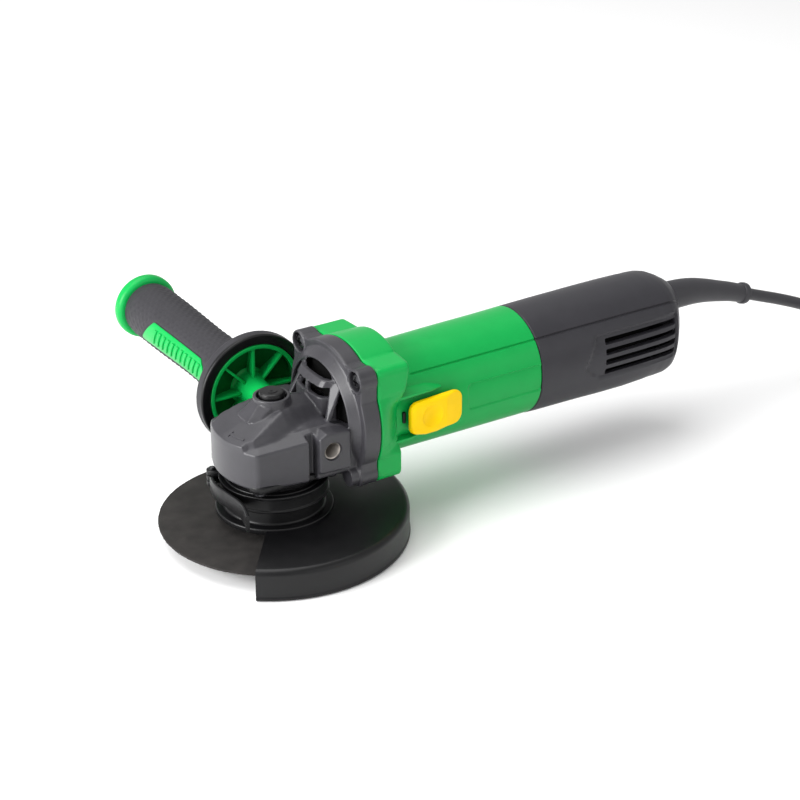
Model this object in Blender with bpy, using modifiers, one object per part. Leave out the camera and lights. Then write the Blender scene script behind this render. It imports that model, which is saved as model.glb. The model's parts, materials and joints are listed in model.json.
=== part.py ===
"""Corded angle grinder for a 125 mm disc, as an assembly of separate parts.

Dimensions are millimetres, turned into metres where a mesh is made. Every part is placed in the tool's
own frame: the spindle runs down Z, the motor runs back along X, the two axes cross at the frame's origin,
and the side handle reaches out along +Y. One empty moves that frame so that the tool stands on Z = 0.
"""
import math

import bmesh
import bpy
from mathutils import Matrix, Vector

MM = 0.001
GAP = 0.3
MERGE = 0.00001
MANY_CUTS = ("gear_housing", "rear_cover")

# Disc, guard and spindle
DISC_R = 62.5
DISC_THICK = 1.6
DISC_Z = -53.8
GUARD_R = 72.5
GUARD_TOP = -46.0
GUARD_BOTTOM = -63.2
GUARD_WALL = 2.0
GUARD_CUT_ANGLE = 53.0
COLLAR_R = 24.4
COLLAR_TOP = -27.0
SPINDLE_R = 5.7
THREAD_R = 6.8

# Gear head
HEAD_BOTTOM = -19.0
HEAD_RIM = 3.0
HEAD_FRONT = -31.3
HEAD_HALF = 30.6
ROOF_Z = 12.5
BOSS_TOP = 19.0
CAVITY_R = 24.0
CAVITY_TOP = 1.5
BLOCK_Y = 33.0
HANDLE_X = 17.6
HANDLE_Z = -5.8

# Flange between gear head and motor housing
FLANGE_FRONT = 33.2
FLANGE_JOINT = 43.2
FLANGE_REAR = 58.5
FLANGE_HALF = 35.0
FLANGE_LOW = -31.0
FLANGE_HIGH = 34.0
FLANGE_ARCH_R = 39.2
SCREW_Y = 29.0
SCREW_HIGH = 28.4
SCREW_LOW = -25.5

# Bevel gears: both pitch cones have their tip where the two axes cross
GEAR_TEETH = 27
PINION_TEETH = 9
GEAR_R = 22.0
PINION_R = GEAR_R * PINION_TEETH / GEAR_TEETH
TOE = 0.72
ADDENDUM = 1.15
DEDENDUM = 1.55

# Motor
BODY_R = 30.5
BODY_INNER = 28.0
SPLIT_X = 152.0
SLEEVE_END = 162.0
COVER_SCREW_X = 157.5
CORE = (72.0, 110.0)
STATOR = (74.0, 108.0)
COMMUTATOR = (123.0, 138.0)
COMMUTATOR_R = 11.0
BRUSH_X = 130.5
REAR_END = 264.0
LEAD_Z = 12.7

# Clamp lever on the guard
LEVER_ANGLE = 142.0
LEVER_R = 33.0
LEVER_THICK = 1.8
LEVER_LOW = -36.0
LEVER_HIGH = -26.6
BAND_LOW = -37.0
BAND_HIGH = -27.6

# Spindle lock: the pin stands off the axis and drops into a hole in the gear
LOCK_PIN_X = -8.2
LOCK_HOLES = 4

# Switch
SLIDER = (62.0, 96.0)
SLIDER_LOW = -9.0
SLIDER_HIGH = 12.0
SLIDER_FACE = 36.0
SLIDER_STEM = (75.0, 83.0)
SLIDER_TRAVEL = 4.5

# Side handle
HANDLE_START = 34.0
HANDLE_DISC = 50.5
HANDLE_RIM_R = 33.2
HANDLE_GRIP_R = 16.5
HANDLE_END = 190.0

# Mains lead
CORD_R = 3.5
BOOT_TIP = (323.0, 0.2)
BOOT_REACH = 324.57
COIL_CENTRE = (460.0, -54.9)
COIL_INNER = 28.0
COIL_OUTER = 49.0
COIL_HEIGHT = 21.0
COIL_OUTER_TURN = COIL_OUTER - CORD_R
CORD_FLOOR = GUARD_BOTTOM + CORD_R + 0.1
PLUG_THICK = 16.0

# The frame's origin in the part: under the middle of the tool without its free cord
ORIGIN = Vector((-(BOOT_REACH - DISC_R) / 2, -(HANDLE_END - GUARD_R) / 2, -GUARD_BOTTOM))

# How a flat outline or a turned profile is laid into the tool's frame
FRAMES = {
    "Z": Matrix.Identity(3),
    "X": Matrix(((0, 0, 1), (1, 0, 0), (0, 1, 0))),
    "Y": Matrix(((0, 1, 0), (0, 0, 1), (1, 0, 0))),
}

for old in list(bpy.data.objects):
    bpy.data.objects.remove(old, do_unlink=True)

PARTS = bpy.data.collections.new("angle_grinder")
CUTTERS = bpy.data.collections.new("cutters")
bpy.context.scene.collection.children.link(PARTS)
bpy.context.scene.collection.children.link(CUTTERS)
TOOL = bpy.data.objects.new("tool_frame", None)
TOOL.location = ORIGIN * MM
PARTS.objects.link(TOOL)


# ---------------------------------------------------------------- materials

def material(name, colour, roughness, metallic=0.0):
    made = bpy.data.materials.new(name)
    made.use_nodes = True
    shader = made.node_tree.nodes["Principled BSDF"]
    shader.inputs["Base Color"].default_value = (*colour, 1.0)
    shader.inputs["Roughness"].default_value = roughness
    shader.inputs["Metallic"].default_value = metallic
    return made


CAST = material("cast_metal", (0.10, 0.098, 0.11), 0.45, 0.6)
GREEN = material("green_plastic", (0.01, 0.34, 0.06), 0.4)
GREY = material("grey_plastic", (0.055, 0.053, 0.062), 0.5)
YELLOW = material("yellow_plastic", (0.9, 0.6, 0.01), 0.35)
BLACK_STEEL = material("black_steel", (0.012, 0.012, 0.015), 0.4, 0.5)
STEEL = material("steel", (0.55, 0.55, 0.56), 0.3, 1.0)
ABRASIVE = material("abrasive", (0.045, 0.042, 0.042), 0.9)
SOFT = material("soft_grip", (0.06, 0.058, 0.065), 0.8)
RUBBER = material("cord_rubber", (0.05, 0.05, 0.055), 0.6)
COPPER = material("copper", (0.7, 0.28, 0.12), 0.35, 1.0)
BRASS = material("brass", (0.7, 0.5, 0.2), 0.35, 1.0)
CARBON = material("carbon", (0.03, 0.03, 0.03), 0.6)
LAMINATE = material("laminated_steel", (0.3, 0.3, 0.32), 0.5, 0.9)


# ---------------------------------------------------------------- shape helpers

def add(name, data, paint, group=PARTS, along="Z", at=(0, 0, 0)):
    """Puts a mesh or curve in the tool's frame."""
    made = bpy.data.objects.new(name, data)
    made.parent = TOOL
    made.location = Vector(at) * MM
    made.rotation_euler = FRAMES[along].to_euler()
    if paint:
        data.materials.append(paint)
    group.objects.link(made)
    if group is CUTTERS:
        made.hide_render = True
        made.display_type = "WIRE"
    return made


def turned(name, profile, paint, steps=28, ring=False, **place):
    """Turns (radius, height) points, listed down the outer side, about the local Z axis."""
    mesh = bpy.data.meshes.new(name)
    points = [(r * MM, 0, h * MM) for r, h in profile]
    edges = [(i, i + 1) for i in range(len(points) - 1)]
    if ring:
        edges.append((len(points) - 1, 0))
    mesh.from_pydata(points, edges, [])
    made = add(name, mesh, paint, **place)
    screw = made.modifiers.new("turn", "SCREW")
    screw.steps = steps
    screw.render_steps = steps
    screw.use_merge_vertices = True
    screw.merge_threshold = MERGE
    return made


def rod(name, radius, low, high, paint, steps=20, **place):
    return turned(name, [(0, high), (radius, high), (radius, low), (0, low)], paint, steps, **place)


def collar(name, inner, outer, low, high, paint, steps=24, **place):
    return turned(name, [(inner, high), (outer, high), (outer, low), (inner, low)], paint, steps, True, **place)


def block(name, low, high, paint, bevel=0.0, **place):
    """A box between two corners given in the tool's frame."""
    shape = bmesh.new()
    bmesh.ops.create_cube(shape, size=1.0)
    size = Vector(high) - Vector(low)
    bmesh.ops.scale(shape, vec=size * MM, verts=shape.verts)
    mesh = bpy.data.meshes.new(name)
    shape.to_mesh(mesh)
    shape.free()
    made = add(name, mesh, paint, at=(Vector(low) + Vector(high)) / 2, **place)
    if bevel:
        edge = made.modifiers.new("bevel", "BEVEL")
        edge.width = bevel * MM
        edge.segments = 2
    return made


def plate(name, outlines, low, high, paint, along="Z", group=PARTS, at=(0, 0, 0)):
    """Extrudes closed outlines from low to high; an outline inside another is a hole."""
    curve = bpy.data.curves.new(name, "CURVE")
    curve.dimensions = "2D"
    curve.fill_mode = "BOTH"
    curve.extrude = (high - low) / 2 * MM
    for outline in outlines:
        spline = curve.splines.new("POLY")
        spline.points.add(len(outline) - 1)
        for point, (u, v) in zip(spline.points, outline):
            point.co = (u * MM, v * MM, 0, 1)
        spline.use_cyclic_u = True
    flat = bpy.data.objects.new(name + "_outline", curve)
    bpy.context.scene.collection.objects.link(flat)
    mesh = as_mesh(flat, name)
    mesh.transform(Matrix.Translation((0, 0, (low + high) / 2 * MM)))
    return add(name, mesh, paint, group, along, at)


def as_mesh(curve_object, name):
    """The closed mesh of a curve object, which is removed."""
    view = bpy.context.evaluated_depsgraph_get()
    view.update()
    mesh = bpy.data.meshes.new_from_object(curve_object.evaluated_get(view))
    mesh.name = name
    mesh.materials.clear()
    shape = bmesh.new()
    shape.from_mesh(mesh)
    bmesh.ops.remove_doubles(shape, verts=shape.verts, dist=MERGE)
    bmesh.ops.recalc_face_normals(shape, faces=shape.faces)
    shape.to_mesh(mesh)
    shape.free()
    bpy.data.objects.remove(curve_object, do_unlink=True)
    return mesh


def loft(name, rings, paint, closed=False, **place):
    """Skins rings of the same number of points; a closed loft runs from the last ring back to the first."""
    shape = bmesh.new()
    rows = [[shape.verts.new(Vector(point) * MM) for point in ring] for ring in rings]
    pairs = list(zip(rows, rows[1:]))
    if closed:
        pairs.append((rows[-1], rows[0]))
    count = len(rows[0])
    for one, two in pairs:
        for i in range(count):
            j = (i + 1) % count
            shape.faces.new((one[i], one[j], two[j], two[i]))
    if not closed:
        shape.faces.new(rows[0])
        shape.faces.new(rows[-1])
    bmesh.ops.recalc_face_normals(shape, faces=shape.faces)
    mesh = bpy.data.meshes.new(name)
    shape.to_mesh(mesh)
    shape.free()
    return add(name, mesh, paint, **place)


def wire(name, points, radius, paint, sides=2):
    """A round wire along points in the tool's frame."""
    curve = bpy.data.curves.new(name, "CURVE")
    curve.dimensions = "3D"
    curve.bevel_depth = radius * MM
    curve.bevel_resolution = sides
    curve.use_fill_caps = True
    spline = curve.splines.new("POLY")
    spline.points.add(len(points) - 1)
    for point, place in zip(spline.points, points):
        point.co = (*(Vector(place) * MM), 1)
    return add(name, curve, paint)


def combine(target, other, operation):
    """Adds a Boolean to the target and keeps the other object as a hidden guide."""
    for child in list(PARTS.objects):
        if child is other:
            PARTS.objects.unlink(other)
            CUTTERS.objects.link(other)
    other.hide_render = True
    other.display_type = "WIRE"
    step = target.modifiers.new(other.name, "BOOLEAN")
    step.operation = operation
    step.object = other
    step.solver = "MANIFOLD" if target.name in MANY_CUTS else "EXACT"


def cut(target, *others):
    for other in others:
        combine(target, other, "DIFFERENCE")


def join(target, *others):
    for other in others:
        combine(target, other, "UNION")


def arc(centre, radius, start, end, count):
    """Points on an arc, angles in degrees, both ends included."""
    turns = [math.radians(start + (end - start) * i / count) for i in range(count + 1)]
    return [(centre[0] + radius * math.cos(a), centre[1] + radius * math.sin(a)) for a in turns]


def round_box(low, high, radius, count=3):
    """A rounded rectangle from its low and high corners, counter-clockwise."""
    (u0, v0), (u1, v1) = low, high
    return (arc((u1 - radius, v0 + radius), radius, -90, 0, count)
            + arc((u1 - radius, v1 - radius), radius, 0, 90, count)
            + arc((u0 + radius, v1 - radius), radius, 90, 180, count)
            + arc((u0 + radius, v0 + radius), radius, 180, 270, count))


def circle(radius, count, centre=(0, 0)):
    return arc(centre, radius, 0, 360 - 360 / count, count - 1)


def notched(outer, inner, teeth, share):
    """A round outline whose rim drops to the inner radius between teeth; share is a tooth's part of the pitch."""
    points = []
    pitch = 360 / teeth
    for i in range(teeth):
        middle = i * pitch
        half = pitch * share / 2
        points += arc((0, 0), outer, middle - half, middle + half, 1)
        points += arc((0, 0), inner, middle + half, middle + pitch - half, 1)
    return points


# ---------------------------------------------------------------- gear head

def flange_outline():
    """The square mounting flange with round bulges on its top and sides, as (y, z) points."""
    half, low, high, bulge = FLANGE_HALF, FLANGE_LOW, FLANGE_HIGH, FLANGE_ARCH_R
    top_meet = math.degrees(math.asin(high / bulge))
    side_meet = math.degrees(math.acos(half / bulge))
    corner = 4.0
    return (arc((half - corner, low + corner), corner, -90, 0, 3)
            + arc((0, 0), bulge, -side_meet, side_meet, 6)
            + arc((half - corner, high - corner), corner, 0, 90, 3)
            + arc((0, 0), bulge, top_meet, 180 - top_meet, 8)
            + arc((corner - half, high - corner), corner, 90, 180, 3)
            + arc((0, 0), bulge, 180 - side_meet, 180 + side_meet, 6)
            + arc((corner - half, low + corner), corner, 180, 270, 3))


def head_outline():
    """The gear head seen from above: a bowed front, tight front corners and straight sides."""
    bow = 74.6
    lean = 19.5
    front = arc((HEAD_FRONT + bow, 0), bow, 180 + lean, 180 - lean, 6)
    corner = 5.0
    side = HEAD_HALF - corner
    left = arc((-22.6, side), corner, 160, 90, 3)
    right = arc((-22.6, -side), corner, 270, 200, 3)
    return [(FLANGE_FRONT + 2, -HEAD_HALF)] + right + front + left + [(FLANGE_FRONT + 2, HEAD_HALF)]


def gear_head():
    plan = head_outline()
    roof_front = -15.0
    roof_half = 13.5
    long_part = (FLANGE_FRONT - roof_front) / (FLANGE_FRONT - HEAD_FRONT)
    roof = [(FLANGE_FRONT + 2 - (FLANGE_FRONT + 2 - x) * long_part, y * roof_half / HEAD_HALF) for x, y in plan]
    head = loft("gear_housing", [
        [(x, y, HEAD_BOTTOM) for x, y in plan],
        [(x, y, HEAD_RIM) for x, y in plan],
        [(x, y, ROOF_Z) for x, y in roof],
    ], CAST)
    flange = plate("head_flange", [flange_outline()], FLANGE_FRONT, FLANGE_JOINT, None, "X", CUTTERS)
    cage = turned("head_cage", [(0, 40), (36, 40), (36, 33.5), (13, 20), (0, 20)], None, 24,
                  along="X", group=CUTTERS)
    cut(cage, block("cage_trim", (10, -45, -50), (45, 45, 2), None, group=CUTTERS))
    boss = turned("head_boss", [(0, BOSS_TOP), (9.3, BOSS_TOP), (9.3, 17.5), (17.5, 8), (17.5, 4), (0, 4)],
                  None, 20, group=CUTTERS)
    join(head, flange, cage, boss)
    for side in (-1, 1):
        inner, outer = sorted((20 * side, BLOCK_Y * side))
        join(head, block(f"hole_block_{side}", (10, inner, -17), (28.6, outer, 4.2), None, 1.2, group=CUTTERS))
        edge, far = sorted((28.8 * side, 36 * side))
        cut(head, block(f"groove_{side}", (5, edge, -40), (10.3, far, 8), None, group=CUTTERS))
    hollows = [
        rod("gear_cavity", CAVITY_R, HEAD_BOTTOM - 1, CAVITY_TOP, None, 24, group=CUTTERS),
        rod("pinion_tunnel", 9.4, 0, 31, None, 14, along="X", group=CUTTERS),
        rod("front_bearing_seat", 13.4, 29.7, 45, None, 20, along="X", group=CUTTERS),
        rod("bushing_seat", 5.5, 0, 8.5, None, 14, group=CUTTERS),
        rod("button_bore", 7.3, 10.2, 22, None, 16, group=CUTTERS),
        block("arm_slot", (-10.8, -3.9, 8.6), (4, 3.9, 15), None, group=CUTTERS),
        rod("lock_spring_bore", 2.8, 2.2, 9.5, None, 12, at=(LOCK_PIN_X, 0, 0), group=CUTTERS),
        rod("lock_pin_bore", 1.9, 0, 3, None, 10, at=(LOCK_PIN_X, 0, 0), group=CUTTERS),
    ]
    cut(head, *hollows)
    air = turned("air_chamber", [(11.5, 45), (31.5, 45), (31.5, 33), (13.5, 22), (11.5, 22)],
                 None, 20, True, along="X", group=CUTTERS)
    cut(air, block("air_floor", (10, -45, -50), (50, 45, 6), None, group=CUTTERS))
    cut(air, rod("seat_wall", 16.5, 27, 50, None, 16, along="X", group=CUTTERS))
    cut(head, air)
    upper = collar("vent_upper", 24.4, 30.3, 18, 34, None, 24, along="X", group=CUTTERS)
    cut(upper, block("vent_upper_left", (10, 22.5, -50), (50, 60, 60), None, group=CUTTERS))
    cut(upper, block("vent_upper_right", (10, -60, -50), (50, -22.5, 60), None, group=CUTTERS))
    cut(upper, block("vent_upper_floor", (10, -60, -50), (50, 60, 12), None, group=CUTTERS))
    cut(head, upper)
    for side in (-1, 1):
        near, far = sorted((1.6 * side, 15.5 * side))
        window = collar(f"vent_lower_{side}", 14.2, 19.6, 15, 28, None, 20, along="X", group=CUTTERS)
        keep = block(f"vent_lower_keep_{side}", (12, near, 9), (30, far, 22), None, group=CUTTERS)
        combine(window, keep, "INTERSECT")
        cut(head, window)
    for side in (-1, 1):
        deep, out = sorted((19.7 * side, 35 * side))
        cut(head, rod(f"insert_hole_{side}", 6.3, deep, out, None, 14, along="Y", group=CUTTERS,
                      at=(HANDLE_X, 0, HANDLE_Z)))
        for high in (SCREW_HIGH, SCREW_LOW):
            place = (0, SCREW_Y * side, high)
            cut(head, rod(f"ear_hole_{side}_{high}", 2.5, 30, 45, None, 8, along="X", at=place, group=CUTTERS),
                rod(f"ear_bore_{side}_{high}", 4.7, 30, 37, None, 10, along="X", at=place, group=CUTTERS))
    return head


def thread_inserts():
    for side, name in ((-1, "thread_insert_right"), (1, "thread_insert_left")):
        deep, out = sorted((20 * side, (BLOCK_Y - 0.2) * side))
        collar(name, 4.1, 6.0, deep, out, STEEL, 14, along="Y", at=(HANDLE_X, 0, HANDLE_Z))


def flange_screws():
    number = 0
    for side in (-1, 1):
        for high in (SCREW_HIGH, SCREW_LOW):
            number += 1
            turned(f"housing_screw_{number}",
                   [(0, 55), (2.1, 55), (2.1, 36.7), (4.0, 36.7), (4.0, 34.8), (2.8, 33.6), (0, 33.6)],
                   STEEL, 8, along="X", at=(0, SCREW_Y * side, high))


def bearing_cover():
    outline = round_box((-25.5, -27.5), (27.0, 27.5), 8, 3)
    cover = plate("bearing_cover", [outline], -23.0, HEAD_BOTTOM - GAP, CAST)
    neck = rod("cover_neck", COLLAR_R - 0.4, -45.2, -21, None, 28, group=CUTTERS)
    join(cover, neck)
    cut(cover, rod("cover_recess", 21.0, -21.5, -15, None, 20, group=CUTTERS),
        rod("cover_bearing_seat", 16.5, -40.3, -20, None, 20, group=CUTTERS),
        rod("cover_mouth", 9.8, -50, -30, None, 16, group=CUTTERS))


def bearing(name, inner, outer, low, high, split=0.36, **place):
    """The two races of a ball bearing, with the ball track's gap between them."""
    track = (outer - inner) * split
    collar(name + "_outer", outer - track, outer, low, high, STEEL, 20, **place)
    collar(name + "_inner", inner, inner + track, low, high, STEEL, 16, **place)


# ---------------------------------------------------------------- spindle lock

def spindle_lock():
    turned("spindle_lock_button", [(0, 20.4), (4.2, 20.0), (6.3, 18.9), (6.9, 17.6), (6.9, 15.1), (0, 15.1)],
           BLACK_STEEL, 20)
    pin = block("lock_pin", (-9.9, -3.2, 13.3), (3.4, 3.2, 14.8), STEEL)
    join(pin, rod("lock_pin_rod", 1.4, -1.5, 14, None, 12, at=(LOCK_PIN_X, 0, 0), group=CUTTERS))
    turns = 4
    steps = 8 * turns
    low, high = 3.1, 12.6
    helix = []
    for i in range(steps + 1):
        angle = 2 * math.pi * turns * i / steps
        helix.append((LOCK_PIN_X + 2.1 * math.cos(angle), 2.1 * math.sin(angle), low + (high - low) * i / steps))
    wire("lock_spring", helix, 0.3, STEEL, 0)


# ---------------------------------------------------------------- spindle and gears

def tooth_rings(teeth, radius, offset, phase):
    """Heel and toe outlines of a bevel gear whose pitch cone has its tip at the origin."""
    length = math.hypot(radius, offset)
    side = -math.copysign(1.0, offset)
    normal = (abs(offset) / length, side * radius / length)
    tip = (radius + normal[0] * ADDENDUM, offset + normal[1] * ADDENDUM)
    root = (radius - normal[0] * DEDENDUM, offset - normal[1] * DEDENDUM)
    pitch = 2 * math.pi / teeth
    heel = []
    for i in range(teeth):
        middle = phase + i * pitch
        for (r, h), turn in ((root, -0.30), (tip, -0.10), (tip, 0.10), (root, 0.30)):
            angle = middle + turn * pitch
            heel.append((r * math.cos(angle), r * math.sin(angle), h))
    toe = [tuple(TOE * value for value in point) for point in heel]
    return heel, toe


def plain_ring(radius, height, teeth, phase):
    """A round ring with the same points round it as a tooth ring."""
    pitch = 2 * math.pi / teeth
    angles = [phase + (i + turn) * pitch for i in range(teeth) for turn in (-0.30, -0.10, 0.10, 0.30)]
    return [(radius * math.cos(a), radius * math.sin(a), height) for a in angles]


def gears():
    half = math.pi / GEAR_TEETH
    heel, toe = tooth_rings(GEAR_TEETH, GEAR_R, -PINION_R, half)
    gear = loft("ring_gear", [
        plain_ring(SPINDLE_R + 0.2, -2.6, GEAR_TEETH, half), toe, heel,
        plain_ring(20.4, -14.5, GEAR_TEETH, half), plain_ring(SPINDLE_R + 0.2, -17, GEAR_TEETH, half),
    ], STEEL, True)
    for i in range(LOCK_HOLES):
        angle = 2 * math.pi * i / LOCK_HOLES
        cut(gear, rod(f"lock_hole_{i}", 2.1, -9, 0, None, 8, group=CUTTERS,
                      at=(LOCK_PIN_X * math.cos(angle), LOCK_PIN_X * math.sin(angle), 0)))
    # the pinion's local Z is the motor axis, and its local -Y points down at the ring gear
    down = -math.pi / 2
    heel, toe = tooth_rings(PINION_TEETH, PINION_R, GEAR_R, down)
    bore = 3.0
    back = 27.5
    loft("pinion", [
        plain_ring(bore, 15.0, PINION_TEETH, down), toe, heel,
        plain_ring(5.4, back, PINION_TEETH, down), plain_ring(bore, back, PINION_TEETH, down),
    ], STEEL, True, along="X")


def spindle_group():
    turned("spindle", [(0, 8.0), (3.4, 8.0), (3.4, 0.5), (SPINDLE_R, 0.5), (SPINDLE_R, -17.4), (8, -17.4),
                       (8, -30.0), (SPINDLE_R, -30.0), (SPINDLE_R, -41.0), (8.4, -41.0), (8.4, -47.6),
                       (THREAD_R, -47.6), (THREAD_R, -62.4), (0, -62.4)], STEEL, 16)
    collar("upper_bushing", 3.7, 5.2, 1.6, 8.2, BRASS, 16)
    bearing("spindle_bearing", SPINDLE_R + GAP, 16.0, -40.0, -30.4)
    top = DISC_Z + DISC_THICK / 2
    turned("inner_flange", [(THREAD_R + GAP, -48.0), (14, -48.0), (20, -50.0), (20, top + GAP), (10.8, top + GAP),
                            (10.8, top - 1.2), (THREAD_R + GAP, top - 1.2)], STEEL, 24, True)
    collar("cutting_disc", 11.1, DISC_R, top - DISC_THICK, top, ABRASIVE, 64)
    under = top - DISC_THICK - GAP
    nut = collar("lock_nut", THREAD_R + GAP, 20, under - 6.3, under, STEEL, 24)
    for i in range(4):
        angle = math.radians(90 * i)
        cut(nut, rod(f"nut_hole_{i}", 2.4, under - 8, under - 3, None, 8, group=CUTTERS,
                     at=(14.5 * math.cos(angle), 14.5 * math.sin(angle), 0)))


# ---------------------------------------------------------------- guard

def guard_group():
    skirt = GUARD_R - GUARD_WALL
    shell = turned("wheel_guard", [
        (COLLAR_R, GUARD_TOP), (69.5, GUARD_TOP), (71.6, GUARD_TOP - 0.9), (GUARD_R, GUARD_TOP - 3),
        (GUARD_R, GUARD_BOTTOM), (skirt - 1.2, GUARD_BOTTOM), (skirt - 1.2, GUARD_BOTTOM + 1.2),
        (skirt, GUARD_BOTTOM + 2.0), (skirt, GUARD_TOP - GUARD_WALL), (COLLAR_R, GUARD_TOP - GUARD_WALL),
    ], BLACK_STEEL, 48, True)
    half_cut = block("guard_half", (-100, 0, -90), (100, 100, 0), None, group=CUTTERS)
    half_cut.rotation_euler = (0, 0, math.radians(GUARD_CUT_ANGLE))
    reach = math.radians(GUARD_CUT_ANGLE + 90)
    half_cut.location = Vector((50 * math.cos(reach), 50 * math.sin(reach), -45)) * MM
    cut(shell, half_cut)
    join(shell, turned("guard_collar", [
        (COLLAR_R, COLLAR_TOP), (26.6, COLLAR_TOP), (26.6, GUARD_TOP + 0.2), (31.5, GUARD_TOP + 0.2),
        (31.5, GUARD_TOP - GUARD_WALL - 0.2), (COLLAR_R, GUARD_TOP - GUARD_WALL - 0.2),
    ], None, 32, True, group=CUTTERS))
    band = collar("guard_clamp_band", 26.9, 29.2, BAND_LOW, BAND_HIGH, BLACK_STEEL, 32)
    middle = (BAND_LOW + BAND_HIGH) / 2
    pivot = lever_pivot()

    def knuckle(name, near, far, half_wide, half_high):
        made = block(name, (near - LEVER_R, -half_wide, -half_high), (far - LEVER_R, half_wide, half_high), None,
                     group=CUTTERS)
        made.rotation_euler = (0, 0, math.radians(LEVER_ANGLE))
        reach = (near + far) / 2 / LEVER_R
        made.location = Vector((pivot[0] * reach, pivot[1] * reach, middle)) * MM
        return made

    join(band, knuckle("band_ears", 27.8, 36.0, 3.0, (BAND_HIGH - BAND_LOW) / 2))
    cut(band, knuckle("band_slot", 29.3, 40.0, 6.0, 1.8),
        rod("band_pin_hole", 1.6, BAND_LOW - 3, BAND_HIGH + 3, None, 12, at=(*pivot, 0), group=CUTTERS))
    rod("lever_pin", 1.3, BAND_LOW - 0.4, BAND_HIGH + 1.2, STEEL, 12, at=(*pivot, 0))


def lever_pivot():
    turn = math.radians(LEVER_ANGLE)
    return LEVER_R * math.cos(turn), LEVER_R * math.sin(turn)


def clamp_lever():
    """A bent strip that hugs the clamp band, flares into a thumb tab and has an eye round its pin."""
    path = (arc((0, 0), LEVER_R, LEVER_ANGLE + 10, 192, 8)
            + [(-32.6, -12.0), (-32.8, -19.0), (-34.6, -25.5), (-38.0, -31.5)])
    inner, outer = [], []
    for i, (x, y) in enumerate(path):
        before = path[max(i - 1, 0)]
        after = path[min(i + 1, len(path) - 1)]
        way = Vector((after[0] - before[0], after[1] - before[1])).normalized()
        side = Vector((way.y, -way.x)) * LEVER_THICK / 2
        outer.append((x - side.x, y - side.y))
        inner.append((x + side.x, y + side.y))
    lever = plate("clamp_lever", [outer + inner[::-1]], LEVER_LOW, LEVER_HIGH, BLACK_STEEL)
    middle = (BAND_LOW + BAND_HIGH) / 2
    neck = arc((0, 0), LEVER_R + 0.9, LEVER_ANGLE + 4, LEVER_ANGLE + 13, 3)
    neck += arc((0, 0), LEVER_R - 0.9, LEVER_ANGLE + 13, LEVER_ANGLE + 4, 3)
    join(lever, plate("lever_neck", [neck], middle - 1.5, middle + 1.5, None, group=CUTTERS),
         collar("lever_eye", 1.6, 3.2, middle - 1.5, middle + 1.5, None, 16, at=(*lever_pivot(), 0), group=CUTTERS))


# ---------------------------------------------------------------- motor

def motor_housing():
    shell = plate("motor_housing", [flange_outline()], FLANGE_JOINT + GAP, FLANGE_REAR, GREEN, "X")
    tube = turned("housing_tube", [
        (0, SLEEVE_END), (27.6, SLEEVE_END), (27.6, SPLIT_X), (BODY_R, SPLIT_X), (BODY_R, 62), (32.5, 56), (0, 56),
    ], None, 32, along="X", group=CUTTERS)
    join(shell, tube)
    cut(shell, turned("housing_bore", [
        (0, SLEEVE_END + 1), (25.4, SLEEVE_END + 1), (25.4, SPLIT_X - 6), (BODY_INNER, SPLIT_X - 8),
        (BODY_INNER, 40), (0, 40),
    ], None, 28, along="X", group=CUTTERS))
    # rear bearing carrier: a cross of ribs with the bearing cup on it
    cross = block("carrier_rib_a", (150, -26.5, -2.5), (155, 26.5, 2.5), None, group=CUTTERS)
    cross_b = block("carrier_rib_b", (150, -2.5, -26.5), (155, 2.5, 26.5), None, group=CUTTERS)
    cup = rod("carrier_cup", 13.6, 145.5, 156, None, 18, along="X", group=CUTTERS)
    join(shell, cross, cross_b, cup)
    cut(shell, rod("carrier_seat", 11.2, 140, 154.3, None, 18, along="X", group=CUTTERS),
        block("link_gate", (SPLIT_X - 8.5, -27.9, -4), (SLEEVE_END + 1, -24.6, 4), None, group=CUTTERS),
        block("stem_slot", (SLIDER_STEM[0] - SLIDER_TRAVEL - 1.5, -40, -2.4), (SLIDER_STEM[1] + 4, -20, 2.4), None,
              group=CUTTERS),
        rod("cover_screw_pilot", 2.3, -30, -20, None, 12, at=(COVER_SCREW_X, 0, 0), group=CUTTERS))
    notch = block("slider_notch", (SLIDER[0] - SLIDER_TRAVEL - GAP, -40, SLIDER_LOW - 1),
                  (SLIDER[0] + 1, -20, SLIDER_HIGH + 1), None, group=CUTTERS)
    cut(notch, rod("notch_floor", BODY_R, 50, 70, None, 32, along="X", group=CUTTERS))
    cut(shell, notch)
    for side in (-1, 1):
        for high in (SCREW_HIGH, SCREW_LOW):
            cut(shell, rod(f"housing_hole_{side}_{high}", 2.5, 40, 56.5, None, 12, along="X",
                           at=(0, SCREW_Y * side, high), group=CUTTERS))


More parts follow.
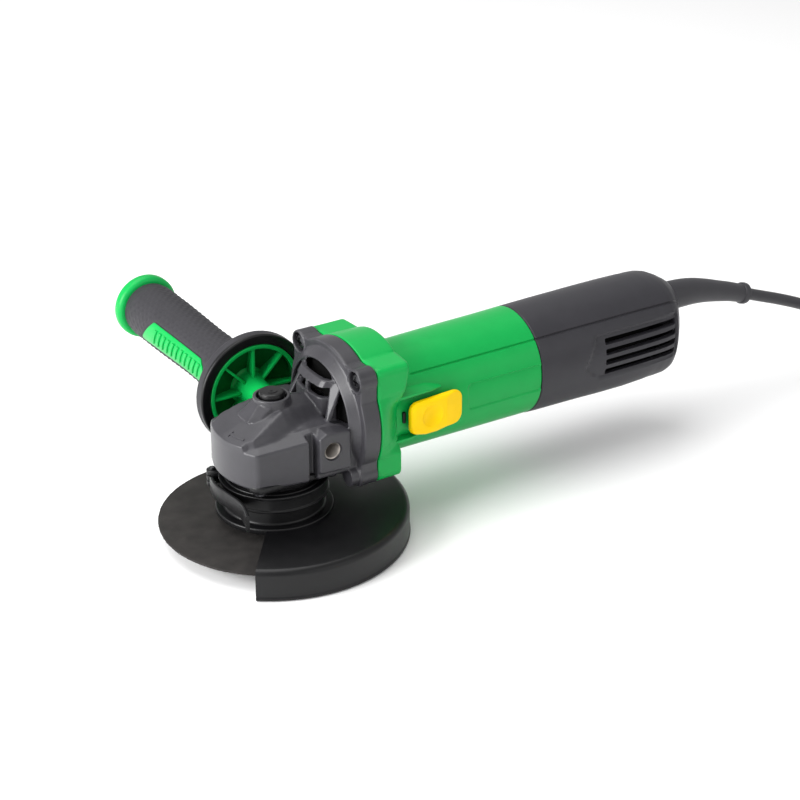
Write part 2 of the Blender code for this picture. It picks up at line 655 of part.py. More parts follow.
def motor_inside():
    turned("air_baffle", [(16, 62.2), (27.7, 62.2), (27.7, 59.5), (26.5, 59.5), (16, 60.8)], GREY, 24, True, along="X")
    turned("armature_shaft", [
        (0, 154.0), (3.7, 154.0), (3.7, 146.0), (4.7, 146.0), (4.7, 29.6), (2.8, 29.6), (2.8, 14.8), (0, 14.8),
    ], STEEL, 16, along="X")
    plate("armature_core", [notched(17.3, 12.5, 12, 0.72), circle(5.0, 16)], *CORE, LAMINATE, "X")
    turned("front_winding", [(5.0, 71.7), (14.8, 71.7), (15.6, 69), (13.5, 64), (8, 62.7), (5.0, 62.7)],
           COPPER, 20, True, along="X")
    turned("rear_winding", [(5.0, 120), (9, 120), (14.2, 117.5), (15.6, 113), (14.8, 110.3), (5.0, 110.3)],
           COPPER, 20, True, along="X")
    collar("commutator", 5.0, COMMUTATOR_R, *COMMUTATOR, COPPER, 24, along="X")
    fan = turned("cooling_fan", [(5.0, 57.2), (25, 57.2), (25, 55.8), (8.5, 55.4), (8.5, 46), (5.0, 46)],
                 GREY, 20, True, along="X")
    join(fan, plate("fan_blades", [notched(24.6, 8.0, 10, 0.12), circle(6.0, 16)], 46.6, 56.4, None, "X", CUTTERS))
    bearing("front_bearing", 5.0, 13.0, 30.0, 38.2, along="X")
    bearing("rear_bearing", 4.0, 10.8, 146.6, 153.9, along="X")
    stator()
    for name, flip in (("upper", 1), ("lower", -1)):
        field_coil(name, flip)
        brush_gear(name, flip)


def stator():
    half_pole = 10.5
    flat = 25.1
    yoke = 27.6
    outer_turn = math.degrees(math.acos(flat / yoke))
    outer = arc((0, 0), yoke, outer_turn, 180 - outer_turn, 8) + arc((0, 0), yoke, 180 + outer_turn, 360 - outer_turn, 8)
    face, window = 18.0, 21.6
    face_turn = math.degrees(math.acos(half_pole / face))
    window_turn = math.degrees(math.acos(half_pole / window))
    inner = (arc((0, 0), window, -window_turn, window_turn, 8) + arc((0, 0), face, face_turn, 180 - face_turn, 5)
             + arc((0, 0), window, 180 - window_turn, 180 + window_turn, 8)
             + arc((0, 0), face, 180 + face_turn, 360 - face_turn, 5))
    plate("stator_core", [outer, inner], *STATOR, LAMINATE, "X")


def field_coil(name, flip):
    coil = collar(f"field_coil_{name}", 18.7, 21.2, STATOR[0] - 8, STATOR[1] + 8, COPPER, 28, along="X")
    low, high = sorted((4.0 * flip, -40.0 * flip))
    cut(coil, block(f"coil_half_{name}", (50, -40, low), (130, 40, high), None, group=CUTTERS))
    low, high = sorted((8.0 * flip, 40.0 * flip))
    cut(coil, block(f"coil_window_{name}", (STATOR[0] - GAP, -11, low), (STATOR[1] + GAP, 11, high), None,
                    group=CUTTERS))


def brush_gear(name, flip):
    def span(low, high):
        return sorted((low * flip, high * flip))

    low, high = span(12.6, 26.0)
    holder = block(f"brush_holder_{name}", (BRUSH_X - 4.6, -5.6, low), (BRUSH_X + 4.6, 5.6, high), BRASS)
    low, high = span(5.0, 24.8)
    cut(holder, block(f"brush_slot_{name}", (BRUSH_X - 3.3, -4.3, low), (BRUSH_X + 3.3, 4.3, high), None,
                      group=CUTTERS))
    low, high = span(COMMUTATOR_R + 0.4, 19.4)
    block(f"carbon_brush_{name}", (BRUSH_X - 3.0, -4.0, low), (BRUSH_X + 3.0, 4.0, high), CARBON)
    low, high = 20.1 * flip, 24.1 * flip
    turns = 3
    steps = 8 * turns
    helix = []
    for i in range(steps + 1):
        angle = 2 * math.pi * turns * i / steps
        helix.append((BRUSH_X + 2.2 * math.cos(angle), 2.2 * math.sin(angle), low + (high - low) * i / steps))
    wire(f"brush_spring_{name}", helix, 0.3, STEEL, 0)


# ---------------------------------------------------------------- rear cover and switch

def rear_cover():
    cover = turned("rear_cover", [
        (0, REAR_END), (15, REAR_END), (21, 261.5), (26, 257), (29.4, 249.5), (31.4, 236), (31.2, 200),
        (30.6, SPLIT_X + GAP), (0, SPLIT_X + GAP),
    ], GREY, 32, along="X")
    cut(cover, turned("cover_bore", [
        (0, REAR_END - 3), (14, REAR_END - 3), (19, 258.5), (24, 253), (26.8, 247), (28.2, 236),
        (28.2, SPLIT_X - 2), (0, SPLIT_X - 2),
    ], None, 28, along="X", group=CUTTERS))
    cut(cover, rod("boot_hole", 9.0, 250, 270, None, 16, along="X", at=(0, 0, LEAD_Z), group=CUTTERS))
    for side in (-1, 1):
        near, far = sorted((18 * side, 40 * side))
        for i in range(4):
            middle = 12.3 - 6.2 * i
            cut(cover, block(f"vent_{side}_{i}", (196, near, middle - 1.5), (243, far, middle + 1.5), None,
                             group=CUTTERS))
    cut(cover, rod("cover_screw_hole", 2.3, -40, -20, None, 12, at=(COVER_SCREW_X, 0, 0), group=CUTTERS),
        rod("cover_screw_bore", 4.0, -40, -29.4, None, 16, at=(COVER_SCREW_X, 0, 0), group=CUTTERS))
    turned("rear_cover_screw", [(0, -21), (2.0, -21), (2.0, -29.7), (3.6, -29.7), (3.6, -30.7), (0, -31.1)],
           STEEL, 12, at=(COVER_SCREW_X, 0, 0))


def switch_group():
    slider = block("switch_slider", (SLIDER[0], -SLIDER_FACE, SLIDER_LOW), (SLIDER[1], -24, SLIDER_HIGH), YELLOW)
    edge = slider.modifiers.new("bevel", "BEVEL")
    edge.width = 3.0 * MM
    edge.segments = 3
    cut(slider, rod("slider_seat", BODY_R + GAP, 50, 110, None, 48, along="X", group=CUTTERS))
    join(slider, block("slider_stem", (SLIDER_STEM[0], -33, -1.9), (SLIDER_STEM[1], -27.9, 1.9), None, group=CUTTERS))
    link = block("switch_link", (72, -27.4, -3), (176, -25.6, 3), GREY)
    join(link, block("link_hook", (172, -27.4, -3), (176, -18, 3), None, group=CUTTERS))
    block("switch_body", (178, -20, -11), (206, 8, 11), GREY, 1.0)


# ---------------------------------------------------------------- side handle

def side_handle():
    place = {"along": "Y", "at": (HANDLE_X, 0, HANDLE_Z)}
    rod("handle_stud", 3.8, 21.5, 78, STEEL, 20, **place)
    disc = HANDLE_DISC
    core = turned("handle_core", [
        (4.1, HANDLE_END), (17.6, HANDLE_END), (19.3, HANDLE_END - 2), (19.3, HANDLE_END - 6), (16.5, HANDLE_END - 7.5),
        (11.4, HANDLE_END - 7.5), (11.4, disc + 8), (27.2, disc + 8), (27.2, disc), (24.8, disc), (24.8, disc + 6),
        (10.5, disc + 6), (9.6, HANDLE_START), (4.1, HANDLE_START),
    ], GREEN, 24, True, **place)
    join(core, rod("core_plug", 5, 79, HANDLE_END - 0.5, None, 16, group=CUTTERS, **place),
         plate("core_spokes", [notched(25.6, 8.0, 8, 0.10), circle(6.0, 16)], disc + 0.8, disc + 6.6, None,
               "Y", CUTTERS, (HANDLE_X, 0, HANDLE_Z)))
    turned("handle_grip", [
        (11.7, HANDLE_END - 7.9), (15.6, HANDLE_END - 7.9), (HANDLE_GRIP_R, HANDLE_END - 12), (HANDLE_GRIP_R, 150),
        (15.4, 110), (HANDLE_GRIP_R, 75), (18.5, disc + 13), (31.5, disc + 11.5), (HANDLE_RIM_R, disc + 9.5),
        (HANDLE_RIM_R, disc + 1.5), (31.8, disc), (27.6, disc), (27.6, disc + 8.4), (11.7, disc + 8.4),
    ], SOFT, 24, True, **place)


# ---------------------------------------------------------------- mains lead

def cord_boot():
    stations = [(251.2, LEAD_Z, 10.5), (253.2, LEAD_Z, 10.5), (253.3, LEAD_Z, 8.5), (265, 12.6, 8.5),
                (272, 12.4, 8.3), (280, 11.7, 7.8), (290, 9.8, 7.0), (300, 7.2, 6.3), (310, 4.4, 5.7),
                (315, 2.7, 5.5), (316, 2.4, 6.3), (BOOT_TIP[0] - 2, BOOT_TIP[1] + 0.6, 6.3), (*BOOT_TIP, 5.6)]
    rings = []
    for i, (x, z, radius) in enumerate(stations):
        before = stations[max(i - 1, 0)]
        after = stations[min(i + 1, len(stations) - 1)]
        lean = 0.0 if i < 4 else math.atan2(after[1] - before[1], after[0] - before[0])
        ring = []
        for y, up in circle(radius, 14):
            ring.append((x - up * math.sin(lean), y, z + up * math.cos(lean)))
        rings.append(ring)
    loft("cord_boot", rings, RUBBER)
    rod("cord_inner_end", CORD_R, 222, 250.8, RUBBER, 12, along="X", at=(0, 0, LEAD_Z))
    clamp = block("cord_clamp", (238, -11, 6), (246, 11, 18.5), GREY)
    cut(clamp, rod("clamp_groove", CORD_R + GAP, 230, 250, None, 16, along="X", at=(0, 0, LEAD_Z), group=CUTTERS),
        block("clamp_mouth", (230, -CORD_R - GAP, 0), (250, CORD_R + GAP, LEAD_Z), None, group=CUTTERS))


def smooth_path(knots, spacing):
    """Points about one spacing apart on a smooth curve through the knots."""
    path = []
    for i in range(len(knots) - 1):
        p0 = Vector(knots[max(i - 1, 0)])
        p1 = Vector(knots[i])
        p2 = Vector(knots[i + 1])
        p3 = Vector(knots[min(i + 2, len(knots) - 1)])
        count = max(1, round((p2 - p1).length / spacing))
        for k in range(count):
            t = k / count
            path.append(0.5 * ((2 * p1) + (p2 - p0) * t + (2 * p0 - 5 * p1 + 4 * p2 - p3) * t * t
                               + (3 * p1 - p0 - 3 * p2 + p3) * t ** 3))
    path.append(Vector(knots[-1]))
    return path


CORD_ROUTE = [
    (323.4, 0, 0.05), (334, 0, -3.9), (350, 0, -9.8), (368, 0, -17.2), (388, 0, -27.0), (406, -0.5, -38.0),
    (422, -1, -47.5), (438, -1.5, -54.8), (450, -1.8, -58.6), (460.0, -2.0, CORD_FLOOR),
]


def mains_lead():
    wire("mains_cord", smooth_path(CORD_ROUTE, 9.0), CORD_R, RUBBER, 2)
    x, y = COIL_CENTRE
    low = GUARD_BOTTOM + 0.1
    high = low + COIL_HEIGHT
    soft = 2.5
    turned("cord_coil", [
        (COIL_INNER, high - soft), (COIL_INNER + soft, high), (COIL_OUTER - soft, high), (COIL_OUTER, high - soft),
        (COIL_OUTER, low + soft), (COIL_OUTER - soft, low), (COIL_INNER + soft, low), (COIL_INNER, low + soft),
    ], RUBBER, 24, True, at=(x, y, 0))
    bend = 28.0
    lift = high + GAP + CORD_R
    plug_z = high + GAP + PLUG_THICK / 2
    south = y - COIL_OUTER_TURN
    turn = arc((x, south + bend), bend, 250, 180, 6)
    climb = [(px, py, lift + (plug_z - lift) * i / 6) for i, (px, py) in enumerate(turn)]
    climb += [(x - bend, south + bend + along, plug_z) for along in (4, 8)]
    wire("cord_end", smooth_path(climb, 7.0), CORD_R, RUBBER, 2)
    plug(x - bend, south + bend + 8 + GAP, plug_z)


def plug(x, y, z):
    """A two-pin plug whose lead comes in along +Y; sections are (distance, half width, half thickness)."""
    sections = [(0, 4.6, 4.6), (16, 5.4, 5.4), (17, 9, 6.6), (24, 14, PLUG_THICK / 2), (38, 17.5, PLUG_THICK / 2),
                (44, 17.5, PLUG_THICK / 2), (46, 16.3, 6.8)]
    rings = []
    for along, wide, thick in sections:
        rings.append([(x + u * wide, y + along, z + v * thick) for u, v in circle(1.0, 14)])
    body = loft("mains_plug", rings, RUBBER)
    for side in (-1, 1):
        join(body, turned(f"plug_pin_{side}", [(0, y + 65), (1.6, y + 65), (2.4, y + 63.5), (2.4, y + 40), (0, y + 40)],
                          None, 8, along="Y", at=(x + 9.5 * side, 0, z), group=CUTTERS))


for build in (gear_head, thread_inserts, flange_screws, bearing_cover, spindle_lock, gears, spindle_group,
              guard_group, clamp_lever, motor_housing, motor_inside, rear_cover, switch_group, side_handle,
              cord_boot, mains_lead):
    build()
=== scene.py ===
"""The looks of a corded angle grinder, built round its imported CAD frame.

Lengths are millimetres in the tool's own frame: the spindle runs down Z, the motor runs back along X, the
side handle reaches out along +Y, and the spindle and motor axes cross at the origin.
"""
import json
import math
from math import acos, asin, atan2, copysign, cos, hypot, pi, radians, sin, tan

import bmesh
import bpy
import numpy as np
from mathutils import Matrix, Vector


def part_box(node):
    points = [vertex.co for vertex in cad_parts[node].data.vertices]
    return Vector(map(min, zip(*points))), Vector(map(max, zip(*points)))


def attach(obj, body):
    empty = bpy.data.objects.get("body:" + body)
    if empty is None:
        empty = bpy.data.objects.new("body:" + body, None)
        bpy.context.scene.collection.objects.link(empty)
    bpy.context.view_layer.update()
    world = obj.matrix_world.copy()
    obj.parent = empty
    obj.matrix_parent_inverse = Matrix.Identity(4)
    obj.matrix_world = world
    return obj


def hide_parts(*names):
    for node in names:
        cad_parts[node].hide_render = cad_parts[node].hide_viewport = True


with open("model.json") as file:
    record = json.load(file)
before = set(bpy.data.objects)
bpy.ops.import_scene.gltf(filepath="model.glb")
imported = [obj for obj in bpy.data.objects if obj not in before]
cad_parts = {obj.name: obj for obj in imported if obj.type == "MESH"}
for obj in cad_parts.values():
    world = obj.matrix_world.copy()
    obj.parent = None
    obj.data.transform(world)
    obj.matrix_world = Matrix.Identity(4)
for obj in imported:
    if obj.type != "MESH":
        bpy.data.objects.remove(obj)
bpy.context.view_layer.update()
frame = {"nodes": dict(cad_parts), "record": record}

MM = 0.001
GUARD_BOTTOM = -63.2

# The tool's frame in the row frame: over the spindle's axis, and so high that the guard stands on the floor
spindle_low, spindle_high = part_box("spindle")
ORIGIN = Vector((
    (spindle_low.x + spindle_high.x) / 2,
    (spindle_low.y + spindle_high.y) / 2,
    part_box("wheel_guard")[0].z - GUARD_BOTTOM * MM,
))
TO_ROW = Matrix.Translation(ORIGIN) @ Matrix.Scale(MM, 4)

# How a shape's local axes lie in the tool's frame
FRAMES = {
    "Z": Matrix.Identity(4),
    "X": Matrix(((0, 0, 1, 0), (1, 0, 0, 0), (0, 1, 0, 0), (0, 0, 0, 1))),
    "Y": Matrix(((0, 1, 0, 0), (0, 0, 1, 0), (1, 0, 0, 0), (0, 0, 0, 1))),
}


# ---------------------------------------------------------------- camera, light and floor

def placed(name, data):
    """A new object in the scene."""
    made = bpy.data.objects.new(name, data)
    bpy.context.scene.collection.objects.link(made)
    return made


def mesh_from(shape, name):
    """A mesh from an edited shape, which is let go."""
    mesh = bpy.data.meshes.new(name)
    shape.to_mesh(mesh)
    shape.free()
    return mesh


def stage():
    """The camera, three softboxes, a pale sky and the floor."""
    scene = bpy.context.scene
    camera = placed("camera", bpy.data.cameras.new("camera"))
    scene.camera = camera
    camera.data.lens = 94.5
    camera.data.sensor_width = 36.0
    camera.data.clip_end = 20.0
    camera.location = TO_ROW @ Vector((-464.7, -863.2, 501.6))
    look = Vector((0.4771, 0.7575, -0.4456))
    camera.rotation_euler = look.to_track_quat("-Z", "Y").to_euler()

    world = bpy.data.worlds.new("studio")
    scene.world = world
    world.use_nodes = True
    sky = world.node_tree.nodes["Background"]
    sky.inputs["Color"].default_value = (1.0, 1.0, 1.0, 1.0)
    sky.inputs["Strength"].default_value = 0.6

    lights = (  # name, place in metres, size in metres, power in watts
        ("key_top", (-0.25, 0.25, 1.3), (1.4, 1.0), 13),
        ("left_side", (-1.15, 0.0, 0.45), (0.8, 0.7), 20),
        ("front_fill", (0.5, -1.6, 0.8), (1.6, 0.8), 4),
    )
    for name, place, size, power in lights:
        lamp = placed(name, bpy.data.lights.new(name, "AREA"))
        lamp.data.shape = "RECTANGLE"
        lamp.data.size, lamp.data.size_y = size
        lamp.data.energy = power
        lamp.location = place
        lamp.rotation_euler = (Vector((0, 0, 0.05)) - Vector(place)).to_track_quat("-Z", "Y").to_euler()

    shape = bmesh.new()
    bmesh.ops.create_grid(shape, x_segments=1, y_segments=1, size=6.0)
    floor = placed("floor", mesh_from(shape, "floor"))
    floor.location.z = -0.0005
    paint = bpy.data.materials.new("floor")
    paint.use_nodes = True
    shader = paint.node_tree.nodes["Principled BSDF"]
    shader.inputs["Base Color"].default_value = (0.93, 0.93, 0.93, 1.0)
    shader.inputs["Roughness"].default_value = 0.9
    floor.data.materials.append(paint)
    scene.view_settings.view_transform = "Standard"


# ---------------------------------------------------------------- materials

MOTTLE_SIZE = 9.0
GLOSS_CHANGE = 0.06


def material(name, colour, roughness, metallic=0.0, grain=(0.5, 0.02), mottle=0.06, specular=None):
    """A Principled material with fine mottling of its colour and gloss, and a grain in its surface.

    grain is (size in mm, depth in mm), mottle the share by which the colour varies.
    """
    made = bpy.data.materials.new(name)
    made.use_nodes = True
    nodes, links = made.node_tree.nodes, made.node_tree.links
    shader = nodes["Principled BSDF"]
    shader.inputs["Metallic"].default_value = metallic
    if specular is not None:
        shader.inputs["Specular IOR Level"].default_value = specular
    place = nodes.new("ShaderNodeTexCoord")

    def fed(kind, source, socket, **settings):
        """A node of a kind with another's output led into one socket and values set on others."""
        node = nodes.new(kind)
        for key, value in settings.items():
            node.inputs[key.replace("_", " ")].default_value = value
        links.new(source, node.inputs[socket])
        return node

    broad = fed("ShaderNodeTexNoise", place.outputs["Object"], "Vector", Scale=1 / (MOTTLE_SIZE * MM),
            Detail=5.0)
    tint = fed("ShaderNodeValToRGB", broad.outputs["Fac"], "Fac")
    for stop, position, change in zip(tint.color_ramp.elements, (0.3, 0.7), (1 - mottle, 1 + mottle)):
        stop.position = position
        stop.color = (*(min(1.0, c * change) for c in colour), 1.0)
    links.new(tint.outputs["Color"], shader.inputs["Base Color"])
    gloss = fed("ShaderNodeMapRange", broad.outputs["Fac"], "Value", To_Min=roughness - GLOSS_CHANGE,
                To_Max=roughness + GLOSS_CHANGE)
    links.new(gloss.outputs["Result"], shader.inputs["Roughness"])
    fine = fed("ShaderNodeTexNoise", place.outputs["Object"], "Vector", Scale=1 / (grain[0] * MM), Detail=3.0)
    bump = fed("ShaderNodeBump", fine.outputs["Fac"], "Height", Distance=grain[1] * MM, Strength=1.0)
    links.new(bump.outputs["Normal"], shader.inputs["Normal"])
    return made


PAINT = {row[0]: material(*row) for row in (
    # name, colour, roughness, metallic, (grain size, depth), mottle, specular level
    ("cast_metal", (0.033, 0.032, 0.037), 0.36, 0.0, (0.45, 0.03), 0.10, 0.45),
    ("green_plastic", (0.002, 0.335, 0.062), 0.34, 0.0, (0.35, 0.008), 0.03, 0.22),
    ("grey_plastic", (0.027, 0.026, 0.031), 0.42, 0.0, (0.35, 0.02), 0.06, 0.32),
    ("yellow_plastic", (0.95, 0.60, 0.0), 0.34, 0.0, (0.6, 0.008), 0.03, 0.12),
    ("black_steel", (0.003, 0.003, 0.0035), 0.36, 0.0, (0.3, 0.010), 0.06, 0.32),
    ("steel", (0.56, 0.56, 0.58), 0.28, 1.0, (0.25, 0.006)),
    ("worn_steel", (0.36, 0.33, 0.30), 0.38, 1.0, (0.25, 0.01)),
    ("abrasive", (0.020, 0.018, 0.017), 0.8, 0.0, (0.35, 0.10), 0.3, 0.25),
    ("soft_grip", (0.026, 0.025, 0.029), 0.6, 0.0, (0.4, 0.03), 0.06, 0.3),
    ("cord_rubber", (0.033, 0.032, 0.037), 0.42, 0.0, (0.5, 0.015), 0.06, 0.4),
    # painted shade: a flat matte black for hollows that are dark only because little light reaches them
    ("painted_shade_black", (0.003, 0.003, 0.003), 0.85, 0.0, (0.5, 0.02), 0.06, 0.05),
    # painted shade: a darker green for the floor of the side handle's deep dish, which lies in shadow
    ("painted_shade_green", (0.0, 0.085, 0.015), 0.45, 0.0, (0.35, 0.008), 0.06, 0.2),
    ("dark_steel", (0.05, 0.05, 0.055), 0.3, 0.9, (0.25, 0.006)),
    ("copper", (0.70, 0.28, 0.12), 0.35, 1.0),
    ("brass", (0.72, 0.52, 0.22), 0.35, 1.0),
    ("carbon", (0.03, 0.03, 0.03), 0.6),
    ("laminated_steel", (0.32, 0.32, 0.33), 0.45, 1.0),
)}


def repaint_frame():
    """Gives each CAD node the finish of its slot."""
    slots = {entry["node"]: entry["material_slot"] for entry in frame["record"]["subparts"]}
    for name, node in frame["nodes"].items():
        node.data.materials.clear()
        node.data.materials.append(PAINT[slots[name]])


# ---------------------------------------------------------------- mesh helpers

NEARLY_STRAIGHT = 1.5  # a corner is left alone when half the angle between its sides, in radians, is more


def piece(name, data, body, slot, replaces=(), smooth=40.0, along="Z", at=(0, 0, 0), paint=None):
    """Puts a mesh, drawn in millimetres, in the row frame as a piece that rides on a body.

    smooth is the sharpest edge, in degrees, that is still shaded round. paint is a finish other than the
    slot's own.
    """
    data.transform(TO_ROW @ Matrix.Translation(at) @ FRAMES[along])
    data.name = name
    made = placed(name, data)
    data.materials.clear()
    data.materials.append(PAINT[paint or slot])
    if smooth:
        data.shade_smooth()
        data.set_sharp_from_angle(angle=radians(smooth))
    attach(made, body)
    if replaces:
        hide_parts(*replaces)


def mended(mesh):
    """The mesh with its doubled points merged and its faces turned outward."""
    shape = bmesh.new()
    shape.from_mesh(mesh)
    bmesh.ops.remove_doubles(shape, verts=shape.verts, dist=1e-4)
    bmesh.ops.recalc_face_normals(shape, faces=shape.faces)
    shape.to_mesh(mesh)
    shape.free()
    return mesh


def skin(rings, closed=False, caps=True):
    """Joins rings of equal point counts; closed runs the last ring back to the first."""
    count = len(rings[0])
    points = [p for ring in rings for p in ring]
    faces = []
    last = len(rings) if closed else len(rings) - 1
    for i in range(last):
        one, two = i * count, (i + 1) % len(rings) * count
        for k in range(count):
            m = (k + 1) % count
            faces.append((one + k, one + m, two + m, two + k))
    if caps and not closed:
        faces.append(tuple(range(count)))
        faces.append(tuple(range(len(points) - count, len(points))))
    mesh = bpy.data.meshes.new("mesh")
    mesh.from_pydata([tuple(p) for p in points], [], faces)
    return mended(mesh)


def turn(profile, steps=96, closed=True):
    """Turns (radius, height) points about the local Z axis; closed joins the last point to the first."""
    rings = []
    for radius, height in profile:
        radius = max(radius, 1e-6)
        angles = [2 * pi * k / steps for k in range(steps)]
        rings.append([(radius * cos(angle), radius * sin(angle), height) for angle in angles])
    return skin(rings, closed, caps=False)


def peg(steps, *points):
    """Turns (radius, height) points into a solid that is flat where it meets the axis at either end."""
    return turn([(0, points[0][1]), *points, (0, points[-1][1])], steps, False)


def rounded(points, radius, steps=4):
    """A closed outline with its corners turned into arcs; radius is one value or one for each point."""
    radii = radius if hasattr(radius, "__len__") else [radius] * len(points)
    path = []
    for i, r in enumerate(radii):
        here = Vector(points[i])
        back = Vector(points[i - 1]) - here
        on = Vector(points[(i + 1) % len(points)]) - here
        half = back.angle(on) / 2 if r > 0 else pi
        if half > NEARLY_STRAIGHT:
            path.append(tuple(here))
            continue
        reach = min(r / tan(half), 0.48 * back.length, 0.48 * on.length)
        r = reach * tan(half)
        back.normalize()
        on.normalize()
        middle = here + (back + on).normalized() * (r / sin(half))
        start = here + back * reach - middle
        sweep = start.angle_signed(here + on * reach - middle)
        for k in range(steps + 1):
            angle = -sweep * k / steps
            path.append((middle.x + start.x * cos(angle) - start.y * sin(angle),
                         middle.y + start.x * sin(angle) + start.y * cos(angle)))
    return path


def arc(centre, radius, start, end, count):
    """Points on an arc, angles in degrees, both ends included."""
    turns = [radians(start + (end - start) * i / count) for i in range(count + 1)]
    return [(centre[0] + radius * cos(a), centre[1] + radius * sin(a)) for a in turns]


def circle(radius, count):
    """A closed outline round the origin."""
    return arc((0, 0), radius, 0, 360 - 360 / count, count - 1)


def polar(radius, degrees):
    """The flat point at a distance from the origin and an angle from the first axis."""
    angle = radians(degrees)
    return radius * cos(angle), radius * sin(angle)


def plate(outlines, low, high, edge=0.0):
    """Extrudes flat outlines along local Z with rounded edges; an outline inside another is a hole."""
    curve = bpy.data.curves.new("plate", "CURVE")
    curve.dimensions = "2D"
    curve.fill_mode = "BOTH"
    curve.extrude = (high - low) / 2 - edge
    curve.bevel_depth = edge
    curve.bevel_resolution = 2
    curve.offset = -edge
    for outline in outlines:
        spline = curve.splines.new("POLY")
        spline.points.add(len(outline) - 1)
        for point, (u, v) in zip(spline.points, outline):
            point.co = (u, v, 0, 1)
        spline.use_cyclic_u = True
    mesh = evaluated(placed("plate", curve))
    mesh.transform(Matrix.Translation((0, 0, (low + high) / 2)))
    return mesh


def evaluated(made):
    """The mesh an object shows with its modifiers, and the object is removed."""
    view = bpy.context.evaluated_depsgraph_get()
    view.update()
    mesh = bpy.data.meshes.new_from_object(made.evaluated_get(view))
    bpy.data.objects.remove(made, do_unlink=True)
    return mended(mesh)


def box(low, high):
    """A block between two opposite corners."""
    shape = bmesh.new()
    bmesh.ops.create_cube(shape, size=1.0)
    bmesh.ops.scale(shape, vec=Vector(high) - Vector(low), verts=shape.verts)
    bmesh.ops.translate(shape, vec=(Vector(high) + Vector(low)) / 2, verts=shape.verts)
    return mesh_from(shape, "box")


def moved(mesh, along="Z", at=(0, 0, 0), turn_z=0.0):
    """The mesh itself, its own Z axis laid along another, turned about Z in degrees and shifted."""
    mesh.transform(Matrix.Translation(at) @ Matrix.Rotation(radians(turn_z), 4, "Z") @ FRAMES[along])
    return mesh


def boolean(base, others, operation):
    """The base mesh with the others cut from it or met with it."""
    target = placed("target", base)
    tools = [placed("tool", other) for other in others]
    for tool in tools:
        step = target.modifiers.new("step", "BOOLEAN")
        step.operation = operation
        step.object = tool
        step.solver = "EXACT"
    mesh = evaluated(target)
    for tool in tools:
        bpy.data.objects.remove(tool, do_unlink=True)
    return mesh


def cut(base, *others):
    """The base mesh with the others taken out of it."""
    return boolean(base, others, "DIFFERENCE")


def soft_edges(mesh, width, segments=3):
    """A solid with rounded edges."""
    made = placed("soft", mesh)
    edge = made.modifiers.new("edge", "BEVEL")
    edge.width = width
    edge.segments = segments
    edge.limit_method = "ANGLE"
    edge.angle_limit = radians(25)
    return evaluated(made)


def melt(mesh, voxel, passes, keep=1.0):
    """Remeshes overlapping solids into one skin with soft edges, as a casting or moulding has."""
    target = placed("melt", mesh)
    grid = target.modifiers.new("grid", "REMESH")
    grid.mode = "VOXEL"
    grid.voxel_size = voxel
    ease = target.modifiers.new("ease", "SMOOTH")
    ease.factor = 0.5
    ease.iterations = passes
    if keep < 1.0:
        thin = target.modifiers.new("thin", "DECIMATE")
        thin.ratio = keep
    return evaluated(target)


def gathered(*meshes):
    """Several meshes as one, not joined."""
    shape = bmesh.new()
    for mesh in meshes:
        shape.from_mesh(mesh)
    return mesh_from(shape, "gathered")


def smoothstep(low, high, value):
    """0 up to low, 1 from high on, and an even curve between."""
    t = np.clip((value - low) / (high - low), 0, 1)
    return t * t * (3 - 2 * t)


def swept(profile, start, end, count):
    """A (radius, height) outline swept about the Z axis between two angles, with closed ends."""
    turns = [start + (end - start) * i / count for i in range(count + 1)]
    return skin([[(*polar(r, degrees), z) for r, z in profile] for degrees in turns])


def stretch(side, near, far):
    """The lower and upper y of a stretch that lies on one side of the tool."""
    return sorted((near * side, far * side))


def hull(points):
    """The convex solid round some points."""
    shape = bmesh.new()
    for point in points:
        shape.verts.new(point)
    made = bmesh.ops.convex_hull(shape, input=shape.verts)
    spare = {v for v in made["geom_interior"] + made["geom_unused"] if isinstance(v, bmesh.types.BMVert)}
    bmesh.ops.delete(shape, geom=list(spare), context="VERTS")
    bmesh.ops.recalc_face_normals(shape, faces=shape.faces)
    return mesh_from(shape, "hull")


def mirrored(points):
    """The points on the other side of the tool's middle plane."""
    return [(x, -y, z) for x, y, z in points]


def mirrored_plan(points):
    """The (x, y) points on the other side in reverse order, without the one on the middle plane."""
    return [(x, -y) for x, y in reversed(points[:-1])]


def grown(outline, amount):
    """A closed outline moved outward along its own normals, corners kept."""
    moved_points = []
    count = len(outline)
    for i, here in enumerate(outline):
        before, after = outline[i - 1], outline[(i + 1) % count]
        way = Vector((after[0] - before[0], after[1] - before[1])).normalized()
        moved_points.append((here[0] + way.y * amount, here[1] - way.x * amount))
    return moved_points


def rounded_prism(outline, near, far, edge, side):
    """A flat (x, z) outline pushed out sideways to y = side * far, its outer edge rounded."""
    rings = []
    for reach, shrink in ((near, 0.0), (far - edge, 0.0), (far - 0.4 * edge, 0.12 * edge),
            (far - 0.1 * edge, 0.4 * edge), (far, edge)):
        rings.append([(x, side * reach, z) for x, z in grown(outline, -shrink)])
    return skin(rings)


def smooth_path(knots, spacing):
    """Points about one spacing apart on a smooth curve through the knots."""
    path = []
    for i in range(len(knots) - 1):
        p0 = Vector(knots[max(i - 1, 0)])
        p1 = Vector(knots[i])
        p2 = Vector(knots[i + 1])
        p3 = Vector(knots[min(i + 2, len(knots) - 1)])
        count = max(1, round((p2 - p1).length / spacing))
        for k in range(count):
            t = k / count
            path.append(0.5 * ((2 * p1) + (p2 - p0) * t + (2 * p0 - 5 * p1 + 4 * p2 - p3) * t * t
                               + (3 * p1 - p0 - 3 * p2 + p3) * t ** 3))
    path.append(Vector(knots[-1]))
    return path


